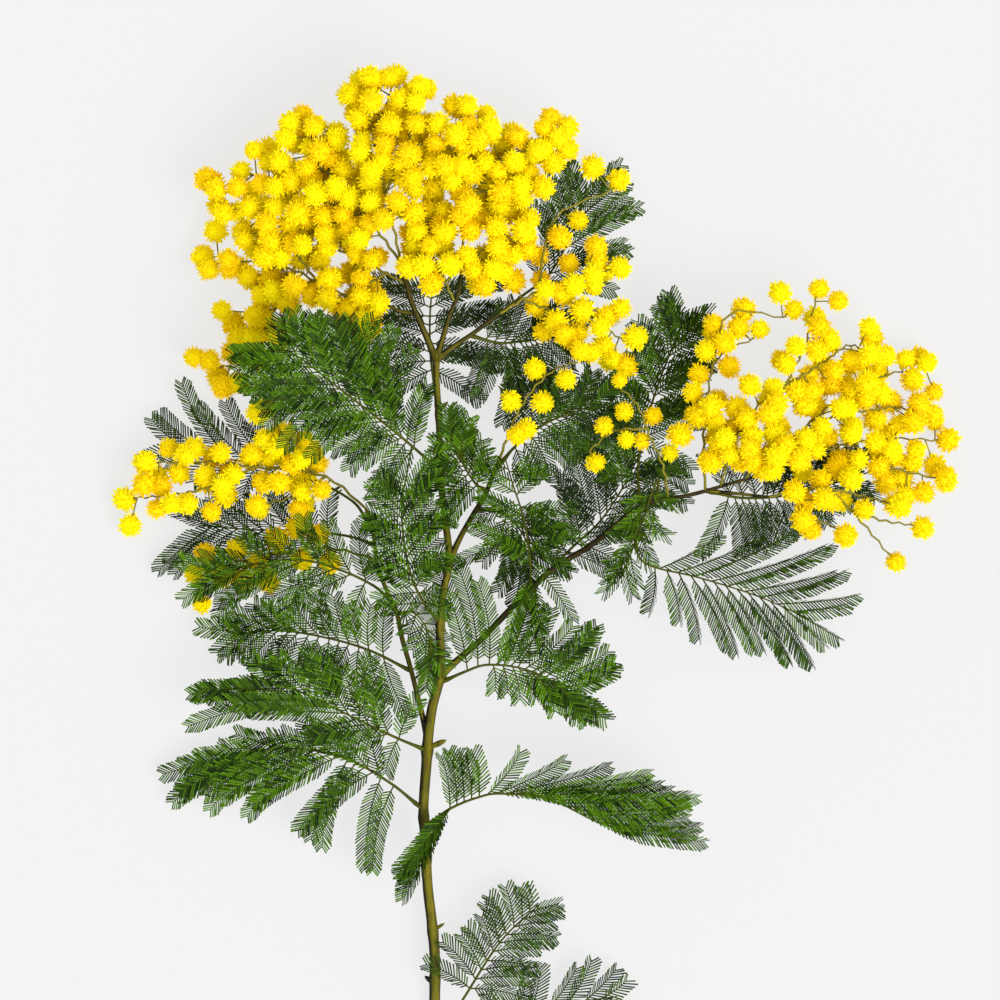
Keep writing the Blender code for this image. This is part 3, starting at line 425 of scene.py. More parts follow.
# Fronds: the rachis from the bark outwards, then for each side the pinna tips in order, how many
# pinnae there are, the share of the rachis they stand on and how far their tips rise, in mm
FRONDS = {
    "frond_lower_left_high": (
        [(427, 752, 18), (393, 737, 24), (350, 716, 28), (300, 692, 28), (250, 675, 24)],
        ([(418, 700), (395, 668), (360, 650), (320, 648), (285, 650), (250, 658)], 4, (0.14, 0.85), -1),
        ([(385, 775), (330, 765), (270, 745), (200, 735), (162, 711), (208, 698)], 4, (0.14, 0.9), -3),
    ),
    "frond_lower_left_low": (
        [(423, 812, 14), (390, 785, 16), (352, 763, 16), (310, 752, 13), (262, 752, 9), (215, 762, 7)],
        ([(370, 730), (320, 722), (270, 728), (215, 740), (159, 777)], 4, (0.2, 0.95), -2),
        ([(365, 871), (340, 862), (262, 815), (228, 824), (200, 810), (169, 806)], 5, (0.2, 0.9), -3),
    ),
    "frond_left_high": (
        [(396, 606, 22.5), (372, 585, 27), (340, 570, 29), (300, 560, 28), (250, 565, 25), (205, 578, 21)],
        ([(360, 525), (318, 515), (275, 522), (225, 540), (180, 560)], 4, (0.15, 0.9), -1),
        ([(350, 630), (300, 622), (250, 622), (200, 615), (182, 600)], 4, (0.15, 0.9), -3),
    ),
    "frond_left_low": (
        [(411, 672, 20), (370, 652, 14), (330, 640, 11), (280, 632, 9), (235, 635, 7)],
        ([(370, 605), (330, 595), (285, 598), (235, 608), (196, 628)], 4, (0.25, 0.95), 0),
        ([(385, 705), (345, 692), (300, 682), (255, 672), (215, 655)], 4, (0.25, 0.95), -2),
    ),
    "frond_fan": (
        [(437, 468, 33), (405, 440, 42), (370, 412, 48), (335, 385, 52), (300, 358, 53), (270, 345, 52)],
        ([(428, 385), (413, 350), (395, 330), (375, 320), (350, 325), (325, 320), (298, 335)],
         7, (0.2, 0.95), -2),
        ([(385, 482), (350, 470), (312, 458), (285, 448), (268, 427), (253, 397), (250, 366)],
         7, (0.2, 0.95), -4),
    ),
    "frond_centre": (
        [(439, 622, 27), (426, 606, 33), (413, 580, 38), (405, 545, 41), (402, 505, 41), (407, 475, 38),
         (412, 445, 35)],
        ([(378, 600), (366, 565), (364, 525), (370, 490)], 4, (0.2, 0.75), -2),
        ([(448, 600), (455, 565), (454, 520), (450, 475)], 4, (0.2, 0.7), 0),
    ),
    "frond_left_back": (
        [(372, 530, 22.5), (350, 500, 16), (300, 474, 12), (250, 463, 8), (205, 455, 6), (160, 447, 5)],
        ([(290, 500), (240, 498), (190, 482), (140, 462)], 4, (0.4, 0.95), -1),
        ([(285, 425), (243, 410), (213, 397), (185, 380), (165, 385), (148, 418)], 4, (0.35, 0.9), 1),
    ),
    "frond_left_under": (
        [(375, 545, 22.5), (345, 536, 14), (300, 531, 10), (250, 530, 7), (200, 526, 5)],
        ([(330, 585), (275, 582), (225, 582), (185, 583), (155, 572)], 4, (0.3, 0.95), -1),
        ([(330, 490), (280, 492), (235, 495), (195, 500), (165, 507)], 4, (0.3, 0.95), 0),
    ),
    "frond_lower_right": (
        [(424, 830, 12), (450, 810, 20), (475, 799, 25), (500, 794, 28), (550, 800, 28), (600, 824, 24),
         (645, 838, 19)],
        ([(441, 757), (472, 752), (650, 773), (687, 795), (672, 811), (705, 843)], 6, (0.12, 0.86), -1),
        ([(402, 902), (398, 874)], 2, (0.07, 0.12), 2),
    ),
    "frond_bottom": (
        [(434, 1042, 3.2), (462, 1005, 8), (490, 960, 9), (510, 935, 9), (540, 908, 8)],
        ([(425, 968), (466, 945), (470, 905), (498, 898), (525, 893)], 4, (0.3, 0.92), 1),
        ([(530, 1005), (525, 980), (548, 957), (560, 933), (558, 908)], 4, (0.3, 0.92), 0),
    ),
    "frond_bottom_low": (
        [(433, 1060, 2.8), (480, 1038, 5), (540, 1018, 6), (590, 1006, 6), (618, 1002, 5)],
        ([(485, 1000), (525, 975), (570, 968), (604, 963), (628, 985)], 4, (0.3, 0.92), 1),
        ([(530, 1062), (575, 1050), (612, 1040), (635, 1020)], 4, (0.3, 0.92), -1),
    ),
    "frond_right_low": (
        [(641, 505, 33.7), (636, 535, 27), (645, 563, 23), (700, 578, 20), (760, 597, 15), (812, 620, 11)],
        ([(720, 535), (790, 527), (822, 537), (845, 553), (848, 578), (850, 605)], 5, (0.32, 0.92), 2),
        ([(650, 612), (700, 640), (738, 655), (765, 652), (792, 664), (815, 667), (842, 640)],
         7, (0.3, 0.92), -4),
    ),
    "frond_right_front": (
        [(657, 500, 34), (657, 480, 42), (650, 495, 47), (637, 535, 46), (620, 578, 41)],
        ([(628, 505), (613, 535), (605, 565), (603, 592)], 4, (0.35, 0.9), -2),
        ([(676, 505), (666, 535), (650, 565), (632, 595)], 4, (0.35, 0.9), -2),
    ),
    "frond_right_upper": (
        [(641, 508, 33.7), (638, 470, 27), (646, 425, 25), (660, 380, 24), (676, 340, 22), (690, 308, 20)],
        ([(605, 440), (606, 400), (617, 355), (633, 320), (660, 303)], 4, (0.3, 0.92), 1),
        ([(692, 470), (702, 430), (708, 392), (713, 350), (712, 312)], 4, (0.3, 0.92), -1),
    ),
    "frond_middle_back": (
        [(548, 573, 29.5), (572, 548, 22), (600, 522, 19), (622, 490, 17), (640, 455, 16)],
        ([(528, 515), (538, 488), (550, 462), (568, 438), (595, 418), (622, 412)], 4, (0.15, 0.95), 1),
        ([(622, 565), (650, 535), (672, 502), (685, 470)], 4, (0.25, 0.9), -2),
    ),
    "frond_top_right": (
        [(500, 314, 37), (522, 296, 30), (548, 275, 22), (566, 245, 16), (580, 210, 12), (588, 180, 10)],
        ([(520, 245), (530, 205), (545, 175), (567, 160)], 4, (0.35, 0.9), 0),
        ([(615, 290), (630, 250), (641, 205), (622, 162)], 4, (0.35, 0.9), 0),
    ),
    "frond_under_fork": (
        [(438, 415, 33.5), (434, 385, 27), (430, 350, 24), (430, 310, 22), (434, 275, 21)],
        ([(385, 400), (362, 365), (350, 325), (360, 290)], 4, (0.3, 0.9), -1),
        ([(480, 400), (502, 365), (508, 325), (490, 285)], 4, (0.3, 0.9), -1),
    ),
    "frond_fork_side": (
        [(470, 336, 36), (500, 343, 31), (530, 340, 28), (562, 334, 26)],
        ([(525, 303), (560, 300), (592, 308)], 3, (0.35, 0.9), 0),
        ([(478, 398), (502, 425), (550, 385), (590, 358)], 4, (0.25, 0.92), -1),
    ),
    "frond_right_back": (
        [(705, 491, 35), (745, 498, 26), (790, 495, 20), (840, 482, 15), (872, 472, 12)],
        ([(740, 455), (785, 448), (830, 445), (862, 450)], 4, (0.3, 0.9), 0),
        ([(702, 556), (755, 552), (800, 530), (845, 520), (878, 500)], 4, (0.12, 0.9), -1),
    ),
    "frond_bough_front": (
        [(523, 598, 28.3), (530, 584, 34), (530, 560, 38), (524, 520, 40), (513, 485, 41), (505, 458, 41)],
        ([(503, 660), (452, 582), (462, 552), (476, 528), (482, 500), (482, 465)], 4, (0.15, 0.92), 0),
        ([(545, 655), (572, 585), (568, 545), (558, 508), (535, 475)], 4, (0.15, 0.9), -1),
    ),
    "frond_small_right": (
        [(441, 683, 22), (465, 672, 26), (487, 665, 28), (520, 668, 30), (550, 680, 30), (590, 704, 27)],
        ([(478, 582), (530, 602), (566, 617), (612, 630), (615, 665)], 4, (0.3, 0.85), 1),
        ([(520, 700), (555, 712), (585, 722), (606, 720)], 4, (0.45, 0.92), -1),
    ),
    "frond_inner_left": (
        [(487, 491, 32.6), (476, 484, 35), (464, 466, 36), (450, 436, 36)],
        ([(446, 500), (436, 474), (436, 445)], 3, (0.35, 0.9), -1),
        ([(482, 440), (470, 418), (448, 408)], 3, (0.35, 0.9), 0),
    ),
    "frond_inner_right": (
        [(494, 472, 33.7), (516, 446, 33), (545, 424, 35), (575, 412, 36), (605, 404, 34)],
        ([(528, 385), (560, 378), (592, 372), (618, 378)], 4, (0.3, 0.9), 0),
        ([(548, 470), (580, 456), (610, 440), (632, 415)], 4, (0.3, 0.92), -1),
    ),
    "frond_inner_low": (
        [(476, 510, 31.6), (500, 512, 28), (520, 530, 26), (535, 560, 24)],
        ([(482, 562), (498, 592), (524, 604)], 3, (0.35, 0.9), -1),
        ([(548, 508), (570, 530), (568, 572)], 3, (0.35, 0.9), 0),
    ),
    "frond_twig": (
        [(397, 614, 22), (414, 613, 27), (427, 630, 29), (432, 655, 28)],
        ([(412, 650), (426, 692)], 2, (0.5, 0.95), -1),
        ([(442, 625), (446, 668)], 2, (0.5, 0.95), -1),
    ),
}


def place_on(curve, share):
    """The point at this share of the curve's length, and the direction there."""
    steps = np.linalg.norm(np.diff(curve, axis=0), axis=1)
    reach = runs_along(curve)
    wanted = share * reach[-1]
    i = min(max(int(np.searchsorted(reach, wanted)) - 1, 0), len(steps) - 1)
    point = curve[i] + (wanted - reach[i]) / steps[i] * (curve[i + 1] - curve[i])
    direction = curve[min(i + 2, len(curve) - 1)] - curve[max(i - 1, 0)]
    return point, unit(direction)


class Room:
    """What each node fills so far, as small balls, so that the next piece can be bent clear of it."""

    def __init__(self):
        self.centres = np.zeros((0, 3))
        self.radii = np.zeros(0)
        self.owners = np.zeros(0, int)
        self.names = []

    def add(self, owner, centres, radii):
        if owner not in self.names:
            self.names.append(owner)
        self.centres = np.vstack([self.centres, centres])
        self.radii = np.concatenate([self.radii, np.full(len(centres), radii)])
        mine = np.full(len(centres), self.names.index(owner))
        self.owners = np.concatenate([self.owners, mine])

    def is_clear(self, owner, centres, radius):
        if (centres[:, 2] - radius).min() < 0:
            return False
        reach = radius + HEAD_RADIUS + CLEARANCE
        low, high = centres.min(axis=0) - reach, centres.max(axis=0) + reach
        near = ((self.centres > low) & (self.centres < high)).all(axis=1)
        if owner in self.names:
            near &= self.owners != self.names.index(owner)
        if not near.any():
            return True
        gaps = np.linalg.norm(centres[:, None] - self.centres[near][None], axis=2)
        return bool((gaps - self.radii[near] > radius + CLEARANCE).all())


def gap_to_bark(point, bark):
    """How far a point stands off the bark, and which way the bark faces there."""
    centres, along, radii = bark
    nearest = int((np.linalg.norm(centres - point, axis=1) - radii).argmin())
    away = point - centres[nearest]
    past_end = away @ along[nearest]
    outwards = away - past_end * along[nearest]
    off_side = np.linalg.norm(outwards) - radii[nearest]
    if abs(past_end) > SEAT_GAP and off_side < abs(past_end):
        return abs(past_end), along[nearest]
    if off_side < 0:
        return off_side, along[nearest]
    return off_side, unit(outwards)


def off_the_bark(stops, own_radius, bark):
    """The route without its start, cut where its flat end first stands the seat gap off the bark."""
    fine = smooth(stops, BARK_STEPS)
    for i in range(len(fine) - 1):
        gap, facing = gap_to_bark(fine[i], bark)
        slant = math.sqrt(max(0, 1 - (unit(fine[i + 1] - fine[i]) @ facing) ** 2))
        if gap > SEAT_GAP + own_radius * slant:
            later = [stop for k, stop in enumerate(stops) if BARK_STEPS * k > i + BARK_STEPS // 3]
            return np.vstack([fine[i], later])
    raise ValueError("a route never leaves the bark")


room = Room()
for line, _, radii in bark.values():
    room.add("stem", line[:: BARK_STEPS // 4], radii.max())
bark_lines = [np.concatenate(parts) for parts in zip(*bark.values())]
rachises = {}
for name, (route, *_) in FRONDS.items():
    stops = off_the_bark([at(*stop) for stop in route], RACHIS_RADIUS, bark_lines)
    rachises[name] = smooth(stops, CURVE_STEPS)
    room.add(name, rachises[name], RACHIS_RADIUS)

# Sprays: racemes of flower heads, the first from the bark outwards, the rest from the ones before.
# Each is a route and its number of heads, the last of them at the tip
SPRAYS = {
    "spray_top_far_left": [
        ([(388, 306, 37), (350, 298, 36), (320, 284, 31), (280, 264, 23), (240, 260, 14),
          (206, 254, 6)], 7),
        ([(320, 284, 31), (285, 240, 30), (252, 205, 25), (218, 186, 20)], 6),
        ([(300, 274, 27), (270, 296, 20), (240, 316, 14)], 4),
        ([(285, 285, 24), (262, 330, 17), (238, 364, 12), (206, 363, 9)], 5),
    ],
    "spray_top_left": [
        ([(400, 262, 41), (378, 232, 42), (350, 200, 42), (318, 165, 38), (302, 152, 35)], 6),
        ([(365, 217, 42), (330, 205, 40), (295, 185, 35), (250, 174, 29)], 6),
        ([(330, 178, 40), (322, 145, 38), (308, 127, 36)], 3),
    ],
    "spray_top": [
        ([(402, 270, 40.5), (396, 235, 47), (385, 190, 48), (374, 140, 46), (364, 92, 42)], 7),
        ([(386, 192, 48), (408, 150, 49), (414, 118, 46), (424, 102, 43)], 5),
        ([(372, 130, 46), (386, 110, 45), (392, 90, 43)], 2),
    ],
    "spray_top_middle": [
        ([(462, 272, 39), (464, 235, 44), (468, 200, 46), (485, 172, 44), (512, 152, 40),
          (560, 132, 33)], 8),
        ([(467, 205, 46), (455, 168, 48), (462, 138, 46), (480, 126, 43)], 5),
        ([(470, 195, 46), (500, 192, 42), (526, 187, 37)], 4),
    ],
    "spray_fork_left": [
        ([(407, 285, 39), (375, 268, 35), (335, 248, 31), (300, 226, 27)], 6),
        ([(385, 273, 36), (362, 290, 33), (352, 315, 30)], 4),
        ([(350, 256, 33), (345, 222, 31), (352, 190, 30)], 5),
    ],
    "spray_fork_middle": [
        ([(455, 303, 37.5), (442, 275, 43), (430, 245, 45), (426, 212, 45)], 6),
        ([(446, 285, 42), (470, 262, 44), (496, 242, 43), (520, 226, 39)], 5),
    ],
    "spray_fork_right": [
        ([(500, 314, 37), (530, 296, 38), (570, 278, 34), (610, 270, 28)], 6),
        ([(520, 303, 38), (555, 312, 38), (592, 322, 34), (630, 345, 28)], 6),
        ([(540, 292, 38), (548, 240, 33), (560, 208, 30), (585, 194, 27), (615, 188, 24)], 2),
    ],
    "spray_inner": [
        ([(500, 458, 34.5), (512, 425, 41), (525, 400, 43), (552, 372, 43), (583, 360, 40)], 6),
    ],
    "spray_bough": [
        ([(668, 499, 34.3), (661, 462, 40), (647, 432, 42), (636, 405, 42), (612, 382, 40)], 5),
        ([(645, 428, 42), (612, 432, 41), (588, 452, 39)], 3),
    ],
    "spray_right_upper": [
        ([(705, 491, 35), (702, 455, 40), (706, 405, 41), (706, 375, 40), (728, 348, 37),
          (755, 338, 34)], 7),
        ([(707, 372, 40), (714, 335, 40), (738, 310, 37), (786, 318, 31)], 4),
    ],
    "spray_right_top": [
        ([(746, 479, 35.7), (757, 450, 41), (772, 410, 42), (795, 365, 38), (812, 325, 33),
          (816, 296, 30)], 7),
        ([(785, 385, 40), (815, 368, 35), (850, 345, 29), (873, 357, 25)], 5),
    ],
    "spray_right_middle": [
        ([(762, 475, 36), (780, 458, 36.5), (807, 425, 34), (850, 392, 26), (890, 374, 16),
          (935, 366, 5)], 8),
        ([(812, 420, 33), (858, 412, 27), (895, 407, 20), (926, 413, 15)], 5),
    ],
    "spray_right_low": [
        ([(736, 482, 35.5), (765, 474, 30), (805, 455, 27), (850, 444, 22), (900, 438, 15),
          (945, 440, 9)], 8),
        ([(850, 444, 22), (890, 466, 17), (940, 478, 12)], 4),
    ],
    "spray_right_under": [
        ([(768, 497, 37), (785, 493, 40), (805, 489, 42), (835, 490, 40), (885, 502, 32)], 6),
        ([(792, 491, 41), (808, 514, 41), (835, 528, 37)], 4),
        ([(828, 490, 40), (850, 514, 35), (876, 532, 30), (890, 555, 25)], 1),
        ([(850, 512, 35), (880, 520, 32), (912, 525, 28)], 1),
    ],
    "spray_right_centre": [
        ([(720, 486, 35.3), (728, 455, 47), (740, 425, 49), (765, 398, 48)], 5),
        ([(731, 448, 47.5), (755, 455, 50), (790, 440, 48)], 4),
        ([(731, 448, 47.5), (712, 430, 47), (696, 420, 45)], 2),
    ],
    "spray_left": [
        ([(366, 510, 22.5), (350, 480, 26), (310, 476, 26), (265, 468, 24), (215, 462, 20),
          (150, 463, 15)], 11),
        ([(258, 467, 24), (205, 488, 18), (160, 496, 12), (130, 498, 8)], 6),
        ([(318, 477, 26), (292, 450, 27), (272, 418, 26)], 5),
        ([(330, 478, 26), (300, 494, 23), (268, 503, 19)], 3),
    ],
    "spray_left_low": [
        ([(376, 560, 22.5), (345, 548, 20), (300, 551, 17), (250, 558, 13), (190, 577, 8)], 7),
    ],
}


def spray_curves(racemes, bark):
    """The racemes' curves: the first starts off the bark, the others on the ones before."""
    curves = []
    for route, count in racemes:
        points = [at(*stop) for stop in route]
        if curves:
            before = np.vstack([smooth(curve, ROOM_STEPS) for curve, _ in curves])
            points[0] = before[np.linalg.norm(before - points[0], axis=1).argmin()]
        else:
            points = off_the_bark(points, AXIS_RADIUS, bark)
        curve = smooth(points, CURVE_STEPS)
        stations = np.linspace(0, 1, RACEME_STOPS[count > LONG_RACEME])
        curves.append((np.array([place_on(curve, share)[0] for share in stations]), count))
    return curves


racemes = {name: spray_curves(drawn, bark_lines) for name, drawn in SPRAYS.items()}
for name, curves in racemes.items():
    for curve, _ in curves:
        room.add(name, smooth(curve, ROOM_STEPS), AXIS_RADIUS)

# Each frond bears two rows of pinnae, and each pinna two rows of thin linear leaflets on a thread of
# a stalk. They are soft green blades, greyer below, and fold up a little along their stalk. The
# pinnae of the solids are here, with the ones that grow between them.
PINNA_HALF_WIDTH = 3.7 * MM
PINNA_THICKNESS = 0.9 * MM
BARE_SHARE = 0.12
FOLLOW_SHARE = 0.12
ARCH_SHARE = 0.06
SPINE_STEPS = 13
ROOT_GROWTH = 3.2
BALLS_ACROSS = (-0.8, -0.4, 0, 0.4, 0.8)
LIFTS = (0, 1.5, -1.5, 3, -3, 4.5, -4.5, 6, -6, 8, -8, 10, -10, 13, -13, 16)
LEAFLET_LENGTH = 4.6 * MM
LEAFLET_LENGTHS = (0.95, 1.03)
LEAFLET_WIDTH = 0.64 * MM
LEAFLET_THICKNESS = 0.16 * MM
LEAFLET_SPACING = 1.0 * MM
LEAFLET_LEAN = 60
TIP_LEAN = 14
LEAN_SPREAD = 1.8
FOLD_SPREAD = 2.5
FEWEST_LEAFLETS = 6
LEAFLET_CURVE = 0.12
LEAFLET_FOOT = 0.7
LEAFLET_TIP = 0.85
RACHILLA_RADIUS = 0.26 * MM
RACHILLA_TAPER = 0.6
PETIOLE_RADIUS = 0.52 * MM
PETIOLE_TAPER = 0.55
PULVINUS = 0.6
PULVINUS_REACH = 2.2 * MM
RACHILLA_STEPS = 2
BETWEEN_DROP = 1.8 * MM
DROP_SHARE = 0.6
BETWEEN_LEAN = (0.4, 1.5)
BETWEEN_LENGTH = (0.9, 1.15)
STALK_REACH = 2 * MM
STALK_SHADE = 0.2
THREAD_STALK = 0.35
FROND_SEED = 100
GREY_SPREAD = 0.12
SHADE_SPREAD = 0.15
FIRST_PARTS = (-0.4, -0.8)
FIRST_LEAN = 0.25
FIRST_CROWD = 2
BARE_FOOT = 0.12
FRESH_LOW, FRESH_HIGH, FRESH_DEEP = "0A1602", "5E8C0E", "1C3A06"
GREY_ABOVE, GREY_BELOW = "20291A", "424C3A"
STALK_LOW, STALK_HIGH = "363A0E", "5E641A"

# A leaflet's share of the full length grows from the first value at this rate, at the pinna's foot
# and at its tip
FOOT_GROWTH = (0.55, 3.2)
TIP_GROWTH = (0.5, 3.4)

# How a frond looks: how grey, how far its leaflets fold up, how far its pinnae are rolled, how many
# pinnae grow between each two of the solids', how far those lean forward, and whether they lie
# over the others or, at -1, under them
HABITS = {
    "frond_lower_left_high": (0.1, 18, 0, 3, 0.7, 1),
    "frond_lower_left_low": (0.1, 18, 0, 3, 0.6, 1),
    "frond_fan": (0.1, 22, 0, 3, 0.9, 1),
    "frond_left_high": (0.1, 32, 0, 2, 0.6, -1),
    "frond_centre": (0.1, 25, 0, 4, 0.9, 1),
    "frond_left_back": (0.6, 25, 15, 1, 0.4, -1),
    "frond_left_under": (0.5, 30, 20, 2, 0.4, -1),
    "frond_middle_back": (0.75, 25, 10, 3, 0.6, -1),
    "frond_top_right": (0.4, 30, 20, 2, 0.6, 1),
    "frond_under_fork": (0.75, 25, 10, 2, 0.4, -1),
    "frond_right_back": (0.6, 30, 20, 5, 0.45, -1),
    "frond_right_upper": (0.3, 25, 10, 5, 0.9, 1),
    "frond_fork_side": (0.6, 25, 10, 3, 0.5, -1),
    "frond_right_low": (0.3, 45, 35, 1, 0.2, -1),
    "frond_lower_right": (0.05, 32, 24, 3, 0.0, -1),
    "frond_right_front": (0.0, 48, 0, 1, 0.8, 1),
    "frond_bough_front": (0.1, 44, 0, 2, 0.9, 1),
    "frond_inner_right": (0.5, 25, 10, 3, 0.4, -1),
    "frond_inner_low": (0.6, 25, 10, 2, 0.4, -1),
    "frond_bottom": (0.45, 30, 20, 2, 0.2, -1),
    "frond_bottom_low": (0.5, 30, 20, 1, 0.3, -1),
}
PLAIN_HABIT = (0.1, 18, 0, 3, 0.4, -1)


def pinna_curve(root, direction, tip, lift):
    """A pinna's spine: it leaves the rachis slanting, and bends over to its tip."""
    reach = np.linalg.norm(tip - root)
    rise = np.array([0, 0, ARCH_SHARE * reach + lift / 2])
    bend = (root + tip) / 2 + FOLLOW_SHARE * reach * direction + rise
    end = tip + np.array([0, 0, lift])
    t = np.linspace(0, 1, SPINE_STEPS)[:, None]
    return (1 - t) ** 2 * root + 2 * t * (1 - t) * bend + t * t * end


def blade_balls(spine):
    """Balls that fill a pinna's blade, for the test of what it would cross."""
    along = np.gradient(spine, axis=0)
    side = np.cross([0, 0, 1.0], along)
    side /= np.linalg.norm(side, axis=1)[:, None]
    width = PINNA_HALF_WIDTH * np.minimum(1, np.linspace(0, ROOT_GROWTH, len(spine)))[:, None]
    return np.vstack([spine + share * width * side for share in BALLS_ACROSS])


def spread_tips(drawn, count):
    """The drawn tips, or as many as asked for spread evenly along them."""
    drawn = np.array(drawn, float)
    steps = np.linspace(0, len(drawn) - 1, count)
    return columns_at(steps, range(len(drawn)), drawn)


def settle_pinnae(name, rachis, sides, room):
    """The spines of each side's pinnae, each lifted or lowered at its tip until it clears the rest."""
    settled = []
    for tips, count, (first, last), rise in sides:
        row = []
        shares = np.linspace(first, last, count)
        for share, (across, down) in zip(shares, spread_tips(tips, count)):
            root, direction = place_on(rachis, share)
            tip = at(across, down, 0)
            tip[2] = root[2] + rise * MM
            for lift in LIFTS:
                spine = pinna_curve(root, direction, tip, lift * MM)
                balls = blade_balls(spine)
                if room.is_clear(name, balls, PINNA_THICKNESS):
                    room.add(name, balls, PINNA_THICKNESS)
                    row.append((share, spine))
                    break
        settled.append(row)
    return settled


def between(rachis, low, high, part, lean, lie, chance):
    """A pinna that grows between two of the solids' pinnae, or before them. It lies lower or higher
    than they do, and leans further forward."""
    share = low[0] + part * (high[0] - low[0])
    middle = low[1] + part * (high[1] - low[1])
    t = np.linspace(0, 1, len(middle))[:, None]
    root, direction = place_on(rachis, share)
    spine = middle + (1 - t) * (root - middle[0])
    reach = np.linalg.norm(spine[-1] - root)
    spine = spine + lean * chance.uniform(*BETWEEN_LEAN) * reach * t * direction
    length = chance.uniform(*BETWEEN_LENGTH) * reach
    spine = root + (spine - root) * length / np.linalg.norm(spine[-1] - root)
    lift = np.array([0, 0, lie * min(BETWEEN_DROP, DROP_SHARE * spine[:, 2].min())])
    return share, spine + lift * np.sin(t * math.pi / 2)


def leaflet_places(spine, side, habit, chance):
    """Where the leaflets of one side of a pinna stand, and the three ways along, across and up each."""
    fold, roll = habit[1:3]
    run = runs_along(spine)
    count = max(int(run[-1] * (1 - BARE_SHARE / 2) / LEAFLET_SPACING), FEWEST_LEAFLETS)
    shares = BARE_SHARE / 2 + (1 - BARE_SHARE / 2) * (np.arange(count) + 0.5) / count
    feet = columns_at(shares * run[-1], run, spine)
    along = unit(columns_at(shares * run[-1], run, np.gradient(spine, axis=0)))
    level = unit(np.cross([0, 0, 1.0], along))
    upright = np.cross(along, level)
    tilt = math.radians(roll)
    flat = math.cos(tilt) * level + math.sin(tilt) * upright
    over = math.cos(tilt) * upright - math.sin(tilt) * level
    rise = np.radians(fold + chance.normal(0, FOLD_SPREAD, count))[:, None]
    out = side * np.cos(rise) * flat + np.sin(rise) * over
    lean = np.radians(LEAFLET_LEAN - TIP_LEAN * shares + chance.normal(0, LEAN_SPREAD, count))[:, None]
    forward = np.cos(lean) * along + np.sin(lean) * out
    up = unit(np.cos(rise) * over - side * np.sin(rise) * flat)
    across = np.cross(up, forward)
    length = np.minimum(1, FOOT_GROWTH[0] + FOOT_GROWTH[1] * (shares - BARE_SHARE / 2))
    length *= np.minimum(1, TIP_GROWTH[0] + TIP_GROWTH[1] * (1 - shares))
    length *= LEAFLET_LENGTH * chance.uniform(*LEAFLET_LENGTHS, count)
    return feet, forward, across, up, along, length


def spindle(sides):
    """The corners and faces of a double cone a metre wide and a metre high, widest at height zero."""
    bpy.ops.object.select_all(action="DESELECT")
    bpy.ops.mesh.primitive_cone_add(
        vertices=sides, radius1=0.5, depth=1, end_fill_type="TRIFAN", rotation=(0, 0, math.pi / 2)
    )
    bpy.ops.object.transform_apply(location=False, rotation=True, scale=False)
    shape = bpy.context.object
    for point in shape.data.vertices:
        if math.hypot(point.co.x, point.co.y) > 0.1:
            point.co.z = 0
    corners = points_of(shape)
    faces = np.array([list(face.vertices) for face in shape.data.polygons])
    bpy.data.objects.remove(shape)
    return corners, faces


def leaflet_shape():
    """One leaflet a metre long and a metre wide: a flat closed blade with a blunt tip."""
    corners, faces = spindle(4)
    corners[:, :2] = corners[:, :2] + corners[:, 1::-1] * (1, -1)
    corners[:, 1] *= np.where(corners[:, 0] > 0, LEAFLET_TIP, LEAFLET_FOOT)
    corners[:, 0] += 0.5
    return corners, faces


def mesh_piece(name, points, faces):
    """A piece of its own from its corners and faces."""
    mesh = bpy.data.meshes.new(name)
    mesh.from_pydata(points.tolist(), [], faces.tolist())
    piece = bpy.data.objects.new(name, mesh)
    bpy.context.scene.collection.objects.link(piece)
    return piece


blade_corners, blade_faces = leaflet_shape()


def build_leaflets(name, pinnae, habit, chance):
    """All the leaflets of a frond as one mesh, each a copy of the one blade."""
    blocks, greys, shades = [], [], []
    for _, spine in pinnae:
        pinna_grey = np.clip(habit[0] + chance.normal(0, GREY_SPREAD), 0, 1)
        pinna_shade = chance.uniform(-SHADE_SPREAD, SHADE_SPREAD)
        for side in (-1, 1):
            feet, forward, across, up, along, length = leaflet_places(spine, side, habit, chance)
            x, y, z = (blade_corners[:, k][None, :, None] for k in range(3))
            bodies = (
                feet[:, None] + x * length[:, None, None] * forward[:, None]
                + y * LEAFLET_WIDTH * across[:, None] + z * LEAFLET_THICKNESS * up[:, None]
                + LEAFLET_CURVE * x * x * length[:, None, None] * along[:, None]
            )
            blocks.append(bodies.reshape(-1, 3))
            greys.append(np.full(len(blocks[-1]), pinna_grey))
            shades.append(np.repeat(chance.uniform(0, 1, len(feet)) + pinna_shade, len(blade_corners)))
    points = np.vstack(blocks)
    count = len(points) // len(blade_corners)
    faces = (blade_faces[None] + len(blade_corners) * np.arange(count)[:, None, None]).reshape(-1, 3)
    leaflets = mesh_piece(name, points, faces)
    mark(leaflets, "grey", np.concatenate(greys))
    mark(leaflets, "shade", np.concatenate(shades))
    mark(leaflets, "below", np.tile(0.5 - blade_corners[:, 2], count))
    mark(leaflets, "stalk", np.zeros(len(points)))
    return leaflets


